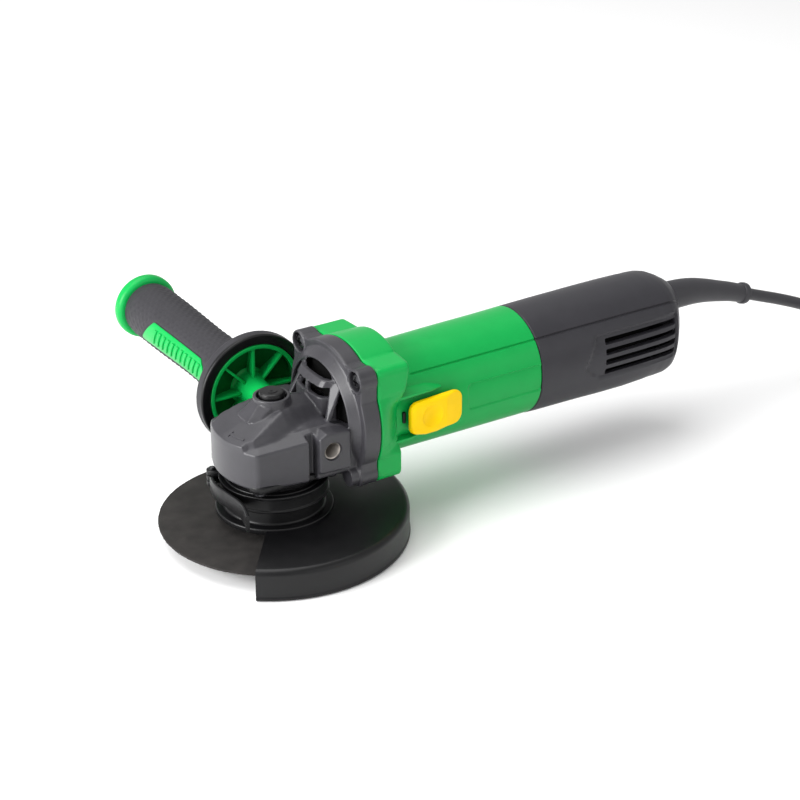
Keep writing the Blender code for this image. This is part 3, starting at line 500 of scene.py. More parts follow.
def smooth_values(xs, values, line):
    """Values along a smooth curve through the knots, at each x of the line."""
    slopes = np.gradient(values, xs)
    made = []
    for x in line:
        i = int(np.clip(np.searchsorted(xs, x) - 1, 0, len(xs) - 2))
        span = xs[i + 1] - xs[i]
        t = (x - xs[i]) / span
        made.append((2 * t ** 3 - 3 * t ** 2 + 1) * values[i] + (t ** 3 - 2 * t ** 2 + t) * span * slopes[i]
                    + (3 * t ** 2 - 2 * t ** 3) * values[i + 1] + (t ** 3 - t ** 2) * span * slopes[i + 1])
    return made


# ---------------------------------------------------------------- gear head

HEAD_LOW = -21.8
HEAD_FRONT = -30.9
HEAD_HALF = 30.6
HEAD_BOW = 44.0
FLANGE_FRONT = 33.2
FLANGE_JOINT = 43.2
FLANGE_HALF = 35.0
FLANGE_LOW = -31.0
FLANGE_HIGH = 34.0
FLANGE_ARCH_R = 39.2
FLANGE_GREEN = 44.2
SCREW_Y = 29.0
SCREW_HIGH = 28.4
SCREW_LOW = -25.5
BLOCK_Y = 33.0
HANDLE_X = 17.6
HANDLE_Z = -5.8
HANDLE_LINE = ("Y", (HANDLE_X, 0, HANDLE_Z))
CREASE_X = -22.9
CREASE_HALF = 25.3
RIM_FRONT = -0.9
RIM_RISE = 2.9
ARROW_INSET = 4.4
CAST_VOXEL = 0.42


def flange_outline():
    """The square mounting flange with round bulges on its top and sides, as (y, z) points."""
    corner = 4.0
    half, low, high, bulge = FLANGE_HALF, FLANGE_LOW, FLANGE_HIGH, FLANGE_ARCH_R
    top_meet = math.degrees(asin(high / bulge))
    side_meet = math.degrees(acos(half / bulge))
    return (arc((half - corner, low + corner), corner, -90, 0, 6)
            + arc((0, 0), bulge, -side_meet, side_meet, 14)
            + arc((half - corner, high - corner), corner, 0, 90, 6)
            + arc((0, 0), bulge, top_meet, 180 - top_meet, 18)
            + arc((corner - half, high - corner), corner, 90, 180, 6)
            + arc((0, 0), bulge, 180 - side_meet, 180 + side_meet, 14)
            + arc((corner - half, low + corner), corner, 180, 270, 6))


def head_plan():
    """The gear head from above, counter-clockwise: a bowed front, creased front corners and flanks that taper."""
    lean = math.degrees(asin(CREASE_HALF / HEAD_BOW))
    middle = CREASE_X + HEAD_BOW * cos(radians(lean))
    left = [(x, float(np.interp(x, (CREASE_X, 6), (CREASE_HALF, HEAD_HALF)))) for x in range(34, -20, -5)]
    front = arc((middle, 0), HEAD_BOW, 185.4 - lean, 174.6 + lean, 26)
    right = [(x, -y) for x, y in reversed(left)]
    outline = left + [(CREASE_X, CREASE_HALF)] + front + [(CREASE_X, -CREASE_HALF)] + right
    radii = [0] * len(outline)
    radii[len(left)] = radii[len(left) + len(front) + 1] = 4.2
    return rounded(outline, radii, steps=8)


def head_rim(x):
    """Height of the edge between the head's side and its shoulder."""
    return RIM_FRONT + RIM_RISE * np.clip((x + 22) / 31, 0, 1)


def head_roof(x, y, inset):
    """Height of the head's top: a sloping shoulder, a raised roof with a ridge, and valleys beside the roof."""
    shoulder = head_rim(x) + 0.42 * min(inset, 8.0)
    roof = min(4.9 + 0.46 * (x + 22.5), 15.0 - 0.12 * max(x - 4, 0))
    roof += 0.7 - np.interp(x, (-12, 16), (0.08, 0.34)) * abs(y)
    half = np.interp(x, (-24, -21, -9.5, 1, 10, 20, 34), (16.5, 18.0, 14.5, 11.0, 9.0, 7.5, 7.5))
    fall = np.interp(x, (-24, -20, -9.5, 1, 20, 34), (2.0, 3.0, 8.0, 10.0, 8.0, 8.0))
    share = 1 - smoothstep(half, half + fall, abs(y))
    return max(shoulder, shoulder + (roof - shoulder) * share)


def nose():
    """The head as a solid: an upright side under a top that closes on a line along the middle."""
    plan = head_plan()
    foot = ((1.6, HEAD_LOW), (0.5, HEAD_LOW + 0.5), (0.1, HEAD_LOW + 1.2), (0.0, HEAD_LOW + 6))
    rings = [[(x, y, z) for x, y in grown(plan, -edge)] for edge, z in foot]
    rings.append([(x, y, head_rim(x) - 0.6) for x, y in plan])
    steps = 44
    for i in range(1, steps + 1):
        share = (i / steps) ** 1.15
        ring = []
        for x, y in plan:
            spine = min(max(x, -11.0), 34.0)
            px, py = x + (spine - x) * share, y * (1 - share)
            inset = hypot(px - x, py - y)
            ring.append((px, py, head_roof(px, py, inset)))
        rings.append(ring)
    return skin(rings)


def slat(low, high, front_low, front_high, wall=2.8):
    """A level band of the vent dome: a flat front with a corner at each side, running back to the struts."""
    rings = []
    for z, front in ((low, front_low), (high, front_high)):
        outer = [(29.4, -16.6), (front + 1.7, -13.1), (front + 0.5, -10.5), (front, -5), (front - 0.1, 0)]
        inner = [(29.4, -16.6 + wall), (front + 2.6 + wall * 0.5, -13.1 + wall), (front + wall + 0.3, -9),
                 (front + wall, -5), (front + wall, 0)]
        outer += mirrored_plan(outer)
        inner += mirrored_plan(inner)
        rings.append([(x, y, z) for x, y in outer + inner[::-1]])
    return skin(rings)


def vent_cage():
    """The slotted dome between roof and flange, as solids that overlap."""
    band = turn([(30.0, 28.4), (30.8, 28.4), (35.0, 32.9), (35.0, 36.0), (32.6, 36.0), (30.6, 33.5),
            (29.6, 30.2)], 96)
    solids = [moved(band, "X"), slat(1.0, 15.4, 20.2, 20.5), slat(20.9, 24.4, 21.3, 23.6),
            hull([(x, y, z) for y in (-1.2, 1.4) for x, z in ((20.3, 14), (23.0, 14), (21.3, 21.8),
            (24.0, 21.8))])]
    strut = [(28.4, -13.4, 25.6), (31.8, -19.4, 25.4), (28.4, -13.6, 21.8), (31.8, -18.6, 21.2),
            (30.8, -15.0, 21.5), (20.4, -20.8, 3.6), (23.2, -21.2, 3.4), (20.6, -18.4, 3.6),
            (23.6, -18.0, 3.4)]
    top = [(28.0, -14.2, 24.0), (29.4, -9.5, 29.6), (31.6, -10.5, 32.4), (31.8, -20.5, 25.2),
            (28.6, -13.4, 27.0)]
    for half in (strut, top):
        solids += [hull(half), hull(mirrored(half))]
    return solids


def rotation_arrow():
    """A raised arrow on the front of the shoulder that shows which way the spindle turns."""
    bow = HEAD_BOW - ARROW_INSET

    def at(radius, angle):
        back, across = polar(radius, angle)
        x, y = HEAD_FRONT + HEAD_BOW - back, -across
        return x, y, head_roof(x, y, HEAD_BOW - radius) + 0.4

    rings = []
    for i in range(15):
        angle = 5.0 + 15.0 * i / 14
        low, high = at(bow - 0.55, angle), at(bow + 0.55, angle)
        drop = Vector((0, 0, 0.8))
        rings.append([Vector(low), Vector(high), Vector(high) - drop, Vector(low) - drop])
    tip, one, two = at(bow, 1.0), at(bow + 1.8, 5.4), at(bow - 1.8, 5.4)
    head = hull([tip, one, two] + [(x, y, z - 0.8) for x, y, z in (tip, one, two)])
    return gathered(skin(rings), head)


def gear_head():
    """The cast head: nose, vent cage, flange and hole blocks melted into one skin, then bored."""
    block_outline = rounded([(9.8, -17.6), (28.6, -18.6), (28.6, 3.6), (20.0, 4.6), (14.0, 4.9), (9.8, 2.6)],
            1.6)
    boss = peg(64, (9.9, 16.4), (10.2, 4))
    lip = turn(rounded([(8.1, 14.0), (9.9, 14.0), (9.9, 18.1), (8.1, 18.1)], [0, 0, 0.7, 0.5]), 96)
    ramp = hull([(-8.8, y, 17.0) for y in (-3.0, 3.0)] + [(-3, -8.9, 16.6), (-3, 8.9, 16.6)]
            + [(-17.6, -5.6, 8.6), (-17.6, 5.6, 8.6), (-13.0, -9.2, 9.0), (-13.0, 9.2, 9.0), (0, -9, 6),
            (0, 9, 6)])
    screw_holes = [moved(peg(32, (2.5, 46), (2.5, 38.4), (5.2, 38.4), (5.5, 28)), "X",
            (0, SCREW_Y * side, high)) for side in (-1, 1) for high in (SCREW_HIGH, SCREW_LOW)]
    flange = cut(moved(plate([flange_outline(), circle(31.0, 72)], FLANGE_FRONT, FLANGE_JOINT, 0.9), "X"),
            *screw_holes)
    chamber = moved(peg(72, (28.4, 60), (28.4, 31), (23.0, 22.6)), "X")
    chamber = boolean(chamber, [box((0, -50, 2.4), (80, 50, 60))], "INTERSECT")
    bearing_ring = moved(turn([(16.2, 45), (16.2, 30.0), (13.4, 30.0), (13.4, 45)], 48), "X")
    solids = [cut(nose(), chamber), boss, ramp, flange] + vent_cage() + [bearing_ring]
    for side in (-1, 1):
        low_y, high_y = stretch(side, 25.5, 40)
        solids[0] = cut(solids[0], box((4.9, low_y, -40), (9.7, high_y, 9)))
        solids.append(rounded_prism(block_outline, 22.0, BLOCK_Y, 1.3, side))
        # lugs that carry the flange's screws forward of its face
        for high in (SCREW_HIGH, SCREW_LOW):
            lug = turn([(6.8, 43), (6.8, 33.4), (6.4, 32.7), (5.6, 32.7), (5.3, 38.4), (5.2, 43)], 40)
            solids.append(moved(lug, "X", (0, SCREW_Y * side, high)))
    cast = melt(gathered(*solids), CAST_VOXEL, 5, 0.45)
    holes = [peg(64, (8.2, 25), (8.2, 14.6), (7.5, 14.2), (7.5, 10.1)), peg(64, (24, 1.5), (24, -30))]
    for side in (-1, 1):
        face = side * BLOCK_Y
        bore = peg(48, (5.3, face + side), (5.3, face - 0.2 * side), (4.6, face - 0.9 * side),
                (4.6, 19.5 * side))
        holes.append(moved(bore, *HANDLE_LINE))
    cast = cut(cast, *holes)
    piece("gear_head", gathered(cast, lip, rotation_arrow()), "tool_body", "cast_metal", ["gear_housing"], 60)


def cage_shade_lining():
    """The near-black duct wall and baffle behind the vent slots: painted shade for the deep inside of the cage.
    """
    wall = turn([(30.9, 33.6), (30.9, 43.6), (27.9, 44.2), (27.9, 61), (27.2, 61), (27.2, 44.0), (30.2, 43.2),
                 (30.2, 33.6)], 72)
    baffle = turn([(13.0, 29.0), (30.4, 33.2), (30.4, 34.4), (13.0, 30.2)], 72)
    baffle = boolean(moved(baffle, "X"), [box((0, -50, 2.8), (80, 50, 60))], "INTERSECT")
    piece("cage_interior_shade", gathered(moved(wall, "X"), baffle), "tool_body", "black_steel", paint="painted_shade_black")


def thread_inserts():
    """Steel bushes in the side handle's holes, their thread drawn as separate rings."""
    for side, name in ((-1, "thread_insert_near"), (1, "thread_insert_far")):
        profile = [(6.0, 20 * side), (6.0, (BLOCK_Y - 1.0) * side), (4.5, (BLOCK_Y - 1.0) * side)]
        reach = BLOCK_Y - 1.3
        while reach > 21:
            profile += [(3.95, reach * side), (4.45, (reach - 0.62) * side)]
            reach -= 1.25
        profile.append((4.1, 20 * side))
        node = "thread_insert_right" if side < 0 else "thread_insert_left"
        piece(name, turn(profile, 48), "tool_body", "steel", [node], 20, *HANDLE_LINE, "worn_steel")


def flange_screws():
    """Cross-recess screws sunk in the flange's four corners."""
    places = [(0, SCREW_Y * side, high) for side in (-1, 1) for high in (SCREW_HIGH, SCREW_LOW)]
    for number, place in enumerate(places, 1):
        head = turn([(0, 55), (2.1, 55), (2.1, 37.2), (4.3, 37.2), (4.5, 36.6), (4.4, 35.2), (3.5, 34.0),
                     (2.0, 33.4), (0, 33.3)], 40, False)
        cross = [box((-0.55, -2.6, 30), (0.55, 2.6, 35.0)), box((-2.6, -0.55, 30), (2.6, 0.55, 35.0))]
        piece(f"flange_screw_{number}", cut(head, *cross), "tool_body", "steel", [f"housing_screw_{number}"],
                30, "X", place, "dark_steel")


def lock_button():
    """The spindle lock's flat button, with a raised ring segment and a dot on its top."""
    top = 20.4
    body = peg(64, (6.7, 15.1), (6.7, top - 1.1), (6.4, top - 0.4), (5.8, top - 0.05), (5.2, top))
    mark = swept([(2.6, top - 0.3), (3.3, top - 0.3), (3.3, top + 0.22), (2.6, top + 0.22)], -150, -30, 16)
    dot = peg(24, (0.8, top - 0.3), (0.8, top + 0.2))
    piece("lock_button", gathered(body, mark, dot), "spindle_lock", "black_steel", ["spindle_lock_button"],
            30)


# ---------------------------------------------------------------- motor housing and rear cover

SPLIT_X = 152.0
REAR_EDGE = 1.2
REAR_FILLET = 5.0
SLEEVE_END = 162.0
REAR_END = 264.0
GROOVE_ANGLES = (43.0, 137.0)
SLOT_MIDDLES = (10.5, 4.6, -1.3, -7.3)
SLOT_X = (196.0, 247.5)
LEAD_Z = 12.7
COVER_SCREW_X = 157.5


def lengthwise(angles, rings):
    """A hollow body from rings of (x, radius) pairs, one pair for each angle round the X axis."""
    return skin([[(x, *polar(r, a)) for a, (x, r) in zip(angles, ring)] for ring in rings], True)


def around(outline, angle):
    """How far a closed (y, z) outline round the origin reaches at an angle in degrees."""
    way = polar(1, angle)
    best = 0.0
    for (ay, az), (by, bz) in zip(outline, outline[1:] + outline[:1]):
        ey, ez = by - ay, bz - az
        across = way[0] * ez - way[1] * ey
        if abs(across) < 1e-9:
            continue
        reach = (ay * ez - az * ey) / across
        share = (ay * way[1] - az * way[0]) / across
        if -1e-6 <= share <= 1 + 1e-6 and reach > best:
            best = reach
    return best


def groove_depth(angle, x, start, end):
    """Depth of the fine styling groove that runs along each upper flank."""
    depth = 0.0
    for middle in GROOVE_ANGLES:
        off = abs(angle - middle)
        ends = smoothstep(start, start + 2.5, x) * (1 - smoothstep(end - 2.5, end, x))
        depth = max(depth, 0.75 * (1 - smoothstep(0.5, 1.5, off)) * ends)
    return depth


def flank_angles():
    """Angles for the long housings, close together at the grooves."""
    angles = {float(a) for a in np.arange(0, 360, 2.0)}
    for middle in GROOVE_ANGLES:
        angles |= {middle + step for step in (-2.0, -1.5, -1.0, -0.5, 0.0, 0.5, 1.0, 1.5, 2.0)}
    return angles


def label_recess(x, z, angle):
    """A shallow rounded panel on the near flank."""
    if not 150 < angle < 215:
        return 0.0
    half_x, half_z, corner = 24.4, 7.6, 3.0
    dx = max(abs(x - 128.2) - half_x + corner, 0)
    dz = max(abs(z - 0.9) - half_z + corner, 0)
    edge = hypot(dx, dz) - corner
    return 0.8 * (1 - smoothstep(-0.35, 0.35, edge))


def housing_rear_edge(angle):
    """Where the green flange ends: further back over the top than at the sides."""
    return 58.2 + 6.4 * smoothstep(0.15, 0.95, sin(radians(angle)))


def motor_housing():
    """The green body: a flange with a rolled rear edge that flows into a flattened tube with two grooves."""
    front = flange_outline()
    rear = rounded([(-35.2, 34.0), (-35.2, 20.0), (-33.0, 13.4), (-30.7, 9.5), (-30.4, 2.0), (-30.2, -7.5),
            (-32.2, -13.0), (-35.0, -16.5), (-35.0, -31.0), (35.0, -31.0), (35.0, -16.5), (35.0, 20.0),
            (35.2, 34.0)][::-1], (4, 4, 6, 4, 4, 3, 3, 3, 3, 6, 4, 4, 4))
    angles = flank_angles() | {float(a) for a in np.arange(150, 212, 1.0)}
    for outline in (front, rear):
        angles |= {round(math.degrees(atan2(z, y)) % 360, 2) for y, z in outline}
    angles = sorted(angles)
    angles = [a for a, b in zip(angles, angles[1:] + [angles[0] + 360]) if b - a > 0.12]
    front_reach = [around(front, a) for a in angles]
    rear_reach = [max(around(rear, a), FLANGE_ARCH_R - 0.4 if 62 < a < 118 else 0) for a in angles]

    def tube(x, angle):
        up = sin(radians(angle))
        top = np.interp(x, (60, 77, 109, 134, 146, 152), (28.9, 29.0, 29.7, 30.0, 30.3, 30.5))
        low = 30.6
        flat = top + (low - top) * (0.5 - 0.5 * up)
        z = flat * up
        return flat - groove_depth(angle, x, 70.5, 154) - label_recess(x, z, angle)

    rings = [[(43.5, 28.2) for _ in angles]]
    for x, shrink in ((43.5, 0.9), (43.65, 0.35), (FLANGE_GREEN, 0.0)):
        rings.append([(x, reach - shrink) for reach in front_reach])
    ends = [housing_rear_edge(a) for a in angles]
    for share in (0.15, 0.3, 0.45, 0.6, 0.72, 0.84, 0.93):
        rings.append([(FLANGE_GREEN + (end - REAR_EDGE - FLANGE_GREEN) * share, f + (r - f) * share ** 1.5)
                      for f, r, end in zip(front_reach, rear_reach, ends)])
    for turn_by in (0, 30, 60, 90):
        back, inward = sin(radians(turn_by)), 1 - cos(radians(turn_by))
        rings.append([(end - REAR_EDGE + REAR_EDGE * back, r - REAR_EDGE * inward)
                      for r, end in zip(rear_reach, ends)])
    for turn_by in (10, 20, 30, 42, 54, 66, 78, 90):
        back, out = 1 - cos(radians(turn_by)), 1 - sin(radians(turn_by))
        ring = []
        for angle, r, end in zip(angles, rear_reach, ends):
            x = end + REAR_FILLET * back
            floor = tube(x, angle)
            ring.append((x, floor + max(r - REAR_EDGE - floor, 0) * out))
        rings.append(ring)
    starts = [end + REAR_FILLET for end in ends]
    last = SPLIT_X - 0.5
    lengths = 124
    for i in range(1, lengths + 1):
        share = i / lengths
        rings.append([(start + (last - start) * share, tube(start + (last - start) * share, angle))
                      for start, angle in zip(starts, angles)])
    rings.append([(SPLIT_X - 0.1, tube(last, angle) - 0.4) for angle in angles])
    for x, radius in ((SPLIT_X, 29.6), (SPLIT_X, 27.6), (SLEEVE_END, 27.6), (SLEEVE_END, 25.4), (146, 25.4),
                      (144, 28.0), (47, 28.0)):
        rings.append([(x, radius) for _ in angles])
    solid = gathered(lengthwise(angles, rings), *slider_channel())
    piece("motor_housing_shell", solid, "tool_body", "green_plastic", ["motor_housing"], 32)
    # painted shade: a black patch stands for the dark slot in front of the slider that the switch's stem runs in
    slot_shade = soft_edges(box((61.6, -30.95, -2.6), (63.3, -29.0, 3.7)), 0.3, 2)
    piece("switch_slot_shade", slot_shade, "tool_body", "black_steel")


def slider_channel():
    """The raised walls above and below the slide switch."""
    upper = hull([(54, -33.4, 14.6), (76.5, -33.0, 14.4), (86.0, -30.0, 12.6), (54, -33.4, 12.9),
            (77.5, -32.6, 12.9), (86.5, -29.6, 12.2), (54, -22, 15.6), (79.0, -22, 15.2), (88.0, -22, 12.6),
            (54, -22, 10), (88, -22, 10)])
    lower = hull([(56, -32.3, -11.2), (66, -32.1, -11.2), (74, -30.0, -11.5), (56, -31.9, -13.0),
            (66, -31.5, -13.0), (72, -26, -14.4), (56, -25, -15.2), (56, -22, -9.8), (74, -22, -9.8)])
    return soft_edges(upper, 0.7), soft_edges(lower, 0.7)


def rear_cover():
    """The grey handle cover, a rounded tube with a domed end, vent slots and a hole for the lead."""
    profile_x = (SPLIT_X, 157, 173, 190, 203, 219, 233, 240, 246, 250, 254, 257.5, 260.5, 262.8, 263.8)
    top = (30.4, 30.5, 30.8, 31.0, 31.2, 31.3, 31.2, 30.8, 29.9, 28.9, 27.0, 24.8, 21.6, 17.2, 13.0)
    low = (30.9, 31.2, 31.3, 31.5, 31.9, 32.0, 31.4, 30.7, 29.7, 28.8, 27.2, 25.2, 22.0, 17.6, 13.2)
    side = (30.5, 30.7, 31.0, 31.2, 31.3, 31.2, 30.8, 30.2, 28.8, 26.4, 22.4, 17.6, 13.2, 9.4, 7.4)
    angles = sorted(flank_angles())

    def reach(x, angle):
        up = sin(radians(angle))
        tall = np.interp(x, profile_x, top if up > 0 else low)
        wide = np.interp(x, profile_x, side)
        y, z = cos(radians(angle)) / wide, up / tall
        # a rounder square than an ellipse, as the end of a moulded cover has
        power = 2.0 + 0.5 * smoothstep(235, 255, x)
        flat = (abs(y) ** power + abs(z) ** power) ** (-1 / power)
        return flat - groove_depth(angle, x, 150, 254) - vent_recess(x, flat * up, angle)

    rings = [[(SPLIT_X + 0.3, 28.2) for _ in angles], [(SPLIT_X + 0.3, reach(SPLIT_X, a) - 0.5)
            for a in angles]]
    stations = [SPLIT_X + 0.9] + [*np.linspace(154, 240, 58), *np.linspace(241.5, 263.8, 22)]
    for x in stations:
        rings.append([(x, reach(x, a)) for a in angles])
    rings.append([(REAR_END, 8.0) for _ in angles])
    rings.append([(REAR_END, 0.01) for _ in angles])
    rings.append([(REAR_END - 3, 0.01) for _ in angles])
    for x, shrink in ((260, 4.0), (254, 3.2), (246, 3.0), (236, 3.0), (200, 3.0), (165, 3.0)):
        rings.append([(x, reach(x, a) - shrink) for a in angles])
    solid = lengthwise(angles, rings)
    tools = [moved(peg(48, (9.2, 250), (9.2, 270)), "X", (0, 0, LEAD_Z)),
             moved(peg(32, (4.0, -40), (4.0, -29.4), (2.3, -29.4), (2.3, -20)), "Z", (COVER_SCREW_X, 0, 0))]
    for way in (-1, 1):
        low_y, high_y = stretch(way, 18, 42)
        for middle in SLOT_MIDDLES:
            slot = box((SLOT_X[0], low_y, middle - 1.8), (SLOT_X[1], high_y, middle + 1.8))
            tools.append(soft_edges(slot, 0.9, 2))
    piece("rear_cover_shell", cut(solid, *tools), "tool_body", "grey_plastic", ["rear_cover"], 32)


def vent_recess(x, z, angle):
    """The sunken field round the vent slots, with a slanting front edge."""
    if 60 < angle < 120 or 240 < angle < 300:
        return 0.0
    front = np.interp(z, (-11, -2, 14.5), (192.0, 181.5, 190.0))
    inside = smoothstep(front - 0.6, front + 0.6, x) * (1 - smoothstep(249.0, 250.0, x))
    inside *= smoothstep(-11.2, -10.0, z) * (1 - smoothstep(14.6, 15.8, z))
    return 1.3 * inside


def vent_shade_sheets():
    """A near-black sheet behind each side's vent slots as painted shade, so that the slots show dark and don't
    show through the cover.
    """
    for side, name in ((-1, "vent_shade_near"), (1, "vent_shade_far")):
        low_y, high_y = stretch(side, 22.0, 23.0)
        piece(name, box((188, low_y, -14.0), (230, high_y, 14.0)), "tool_body", "black_steel", (), 0,
              paint="painted_shade_black")


# ---------------------------------------------------------------- spindle end and guard

DISC_R = 62.5
DISC_TOP = -53.0
DISC_THICK = 1.6
GUARD_R = 72.5
GUARD_TOP = -46.0
GUARD_CUT_ANGLE = 53.0
COLLAR_R = 24.4
LEVER_ANGLE = 142.0
LEVER_R = 33.0
LEVER_HALF = 0.9
BAND_LOW = -37.0
BAND_HIGH = -27.6


def cross_screw(radius, depth, up=1):
    """A pan head with a cross recess, its seat at height 0 and its crown towards up."""
    head = turn([(0, -2.0 * up), (radius * 0.55, -2.0 * up), (radius * 0.55, 0), (radius, 0),
            (radius, depth * 0.45 * up), (radius * 0.86, depth * 0.8 * up), (radius * 0.5, depth * 0.97 * up),
            (0, depth * up)], 36, False)
    arm, slot = radius * 0.56, radius * 0.14
    near, far = sorted((depth * 0.3 * up, depth * 2 * up))
    return cut(head, box((-arm, -slot, near), (arm, slot, far)), box((-slot, -arm, near), (slot, arm, far)))


def bearing_cover():
    """The plate under the head, with its rim, the neck that the guard turns on and four screws."""
    outline = rounded([(-25.5, -27.5), (27.0, -27.5), (27.0, 27.5), (-25.5, 27.5)], 8.0, steps=8)
    rim = turn(rounded([(20.0, -22.0), (26.2, -22.0), (26.2, -25.0), (20.0, -25.0)], [0, 0, 1.0, 0]), 96)
    neck = turn(rounded([(21.0, -20.0), (24.0, -20.0), (24.0, -45.2), (9.8, -45.2), (9.8, -40.4),
            (16.5, -40.4), (16.5, -24.0), (21.0, -24.0)], [0, 0, 0.8, 0.5, 0, 0, 0, 0]), 96)
    base = plate([outline, circle(20.5, 72)], -23.0, -19.35, 0.7)
    # painted near-black, darker than the cast head: its own dark finish with the shade under the head painted in
    piece("bearing_cover_plate", gathered(base, rim, neck), "tool_body", "cast_metal", ["bearing_cover"], 35,
          paint="black_steel")
    screws = [moved(cross_screw(3.7, 2.3, -1), "Z", (x, y, -23.0), 20 * k)
              for k, (x, y) in enumerate(((-20.4, -22.6), (-20.4, 22.6), (21.8, -22.6), (21.8, 22.6)))]
    piece("cover_screws", gathered(*screws), "tool_body", "black_steel", (), 30, paint="dark_steel")


def cutting_disc():
    """The thin cut-off disc, with a worn gritty rim and a steel ring round its hole."""
    grit = np.random.default_rng(11)
    steps = 360
    rows = [(13.4, DISC_TOP), (30.0, DISC_TOP), (46.0, DISC_TOP), (61.4, DISC_TOP),
            (DISC_R - 0.25, DISC_TOP - 0.2), (DISC_R - 0.05, DISC_TOP - 0.8), (DISC_R - 0.25, DISC_TOP - 1.4),
            (61.4, DISC_TOP - DISC_THICK), (30.0, DISC_TOP - DISC_THICK), (13.4, DISC_TOP - DISC_THICK)]
    rings = []
    for radius, height in rows:
        ring = []
        for k in range(steps):
            angle = 2 * pi * k / steps
            rough = grit.random() if radius > 61 else 0
            r = radius - 0.22 * rough
            lift = 0.05 * (rough - 0.5) if rough else 0
            ring.append((r * cos(angle), r * sin(angle), height + lift))
        rings.append(ring)
    piece("cutting_disc_body", skin(rings, closed=True), "spindle_set", "abrasive", ["cutting_disc"], 30)
    ring = rounded([(11.1, DISC_TOP), (13.6, DISC_TOP), (13.6, DISC_TOP - DISC_THICK),
            (11.1, DISC_TOP - DISC_THICK)], 0.2)
    piece("disc_bore_ring", turn(ring, 72), "spindle_set", "steel", (), 30)


def lock_nut():
    """The round nut under the disc, with four pin holes and a bevelled rim."""
    top = DISC_TOP - DISC_THICK - 0.3
    outline = rounded([(7.1, top), (20.0, top), (20.0, top - 2.6), (17.8, top - 4.2), (11.0, top - 4.2),
                       (10.4, top - 6.3), (7.1, top - 6.3)], [0.2, 0.4, 0.7, 0.8, 0.8, 0.6, 0.4])
    holes = [moved(turn([(0, top - 8), (2.4, top - 8), (2.4, top - 1.6), (0, top - 1.2)], 32, False), "Z",
                   (*polar(14.5, 90 * i), 0)) for i in range(4)]
    piece("lock_nut_body", cut(turn(outline, 96), *holes), "spindle_set", "steel", ["lock_nut"], 30)


def wheel_guard():
    """The pressed half guard: a flat top, a rolled edge under its skirt and the collar round the neck."""
    shell = rounded([
        (26.0, GUARD_TOP), (72.1, GUARD_TOP), (72.1, -61.0), (GUARD_R, -61.8), (GUARD_R, GUARD_BOTTOM),
        (69.4, GUARD_BOTTOM), (69.4, -61.8), (70.3, -61.0), (70.3, -47.8), (26.0, -47.8),
    ], [0, 3.4, 0.6, 0.5, 0.9, 0.9, 0.5, 0.6, 1.8, 0], steps=6)
    collar = rounded([(COLLAR_R, -27.0), (26.5, -27.0), (26.5, -45.1), (31.5, -45.1), (31.5, -48.2),
            (COLLAR_R, -48.2)], [0.4, 0.7, 1.4, 0.8, 0.4, 0.3], steps=5)
    piece("wheel_guard_shell", gathered(swept(shell, GUARD_CUT_ANGLE - 180, GUARD_CUT_ANGLE, 120),
            turn(collar, 120)), "guard", "black_steel", ["wheel_guard"], 35)


def clamp_band():
    """The split band round the collar, with rolled edges and two lugs that hold the lever's pin."""
    band = rounded([(26.8, BAND_HIGH), (29.4, BAND_HIGH), (29.4, BAND_HIGH - 1.2), (28.7, BAND_HIGH - 1.7),
                    (28.7, BAND_LOW + 1.7), (29.4, BAND_LOW + 1.2), (29.4, BAND_LOW), (26.8, BAND_LOW)],
                   [0.3, 0.5, 0.4, 0.5, 0.5, 0.4, 0.5, 0.3])
    lug = arc((LEVER_R, 0), 3.2, -90, 90, 12) + [(28.0, 3.2), (28.0, -3.2)]
    pin = turn([(0, BAND_HIGH + 1.0), (1.9, BAND_HIGH + 0.8), (2.1, BAND_HIGH + 0.1), (2.1, BAND_HIGH - 0.5),
                (0, BAND_HIGH - 0.5)], 32, False)
    solids = [turn(band, 96), plate([lug], BAND_HIGH - 2.9, BAND_HIGH, 0.4),
            plate([lug], BAND_LOW, BAND_LOW + 2.9, 0.4), moved(pin, "Z", (LEVER_R, 0, 0))]
    for solid in solids[1:]:
        moved(solid, turn_z=LEVER_ANGLE)
    piece("guard_clamp_band_body", gathered(*solids), "guard", "black_steel", ["guard_clamp_band"], 35)


def clamp_lever():
    """The bent strip that hugs the band and flares out at its thumb end."""
    path = arc((0, 0), LEVER_R, LEVER_ANGLE + 8, 192, 16)
    thumb_end = [(-32.3, -6.9, 0), (-31.9, -11.0, 0), (-31.2, -19.0, 0), (-31.7, -26.0, 0), (-34.4, -34.6, 0)]
    path += [tuple(p[:2]) for p in smooth_path(thumb_end, 1.4)[1:]]
    rings = []
    last = len(path) - 1
    for i, (x, y) in enumerate(path):
        before, after = path[max(i - 1, 0)], path[min(i + 1, last)]
        way = Vector((after[0] - before[0], after[1] - before[1])).normalized()
        flare = smoothstep(0.72, 1.0, i / last)
        close = smoothstep(0.0, 0.12, i / last)
        high, low = -30.9 + 4.3 * close - 1.0 * flare, -33.7 - 2.3 * close - 1.2 * flare
        half = LEVER_HALF
        section = rounded([(-half, low), (half, low), (half, high), (-half, high)], 0.55, steps=3)
        rings.append([(x + way.y * u, y - way.x * u, z) for u, z in section])
    middle = (BAND_LOW + BAND_HIGH) / 2
    eye = turn(rounded([(1.5, middle - 1.4), (3.1, middle - 1.4), (3.1, middle + 1.4), (1.5, middle + 1.4)],
            0.3), 40)
    moved(eye, "Z", (*polar(LEVER_R, LEVER_ANGLE), 0))
    neck = swept(rounded([(LEVER_R - 0.9, middle - 1.4), (LEVER_R + 0.9, middle - 1.4),
            (LEVER_R + 0.9, middle + 1.4), (LEVER_R - 0.9, middle + 1.4)], 0.3),
            LEVER_ANGLE + 4, LEVER_ANGLE + 14, 8)
    piece("clamp_lever_strip", gathered(skin(rings), eye, neck), "guard_lever", "black_steel",
            ["clamp_lever"], 35)


# ---------------------------------------------------------------- switch, boot and plug

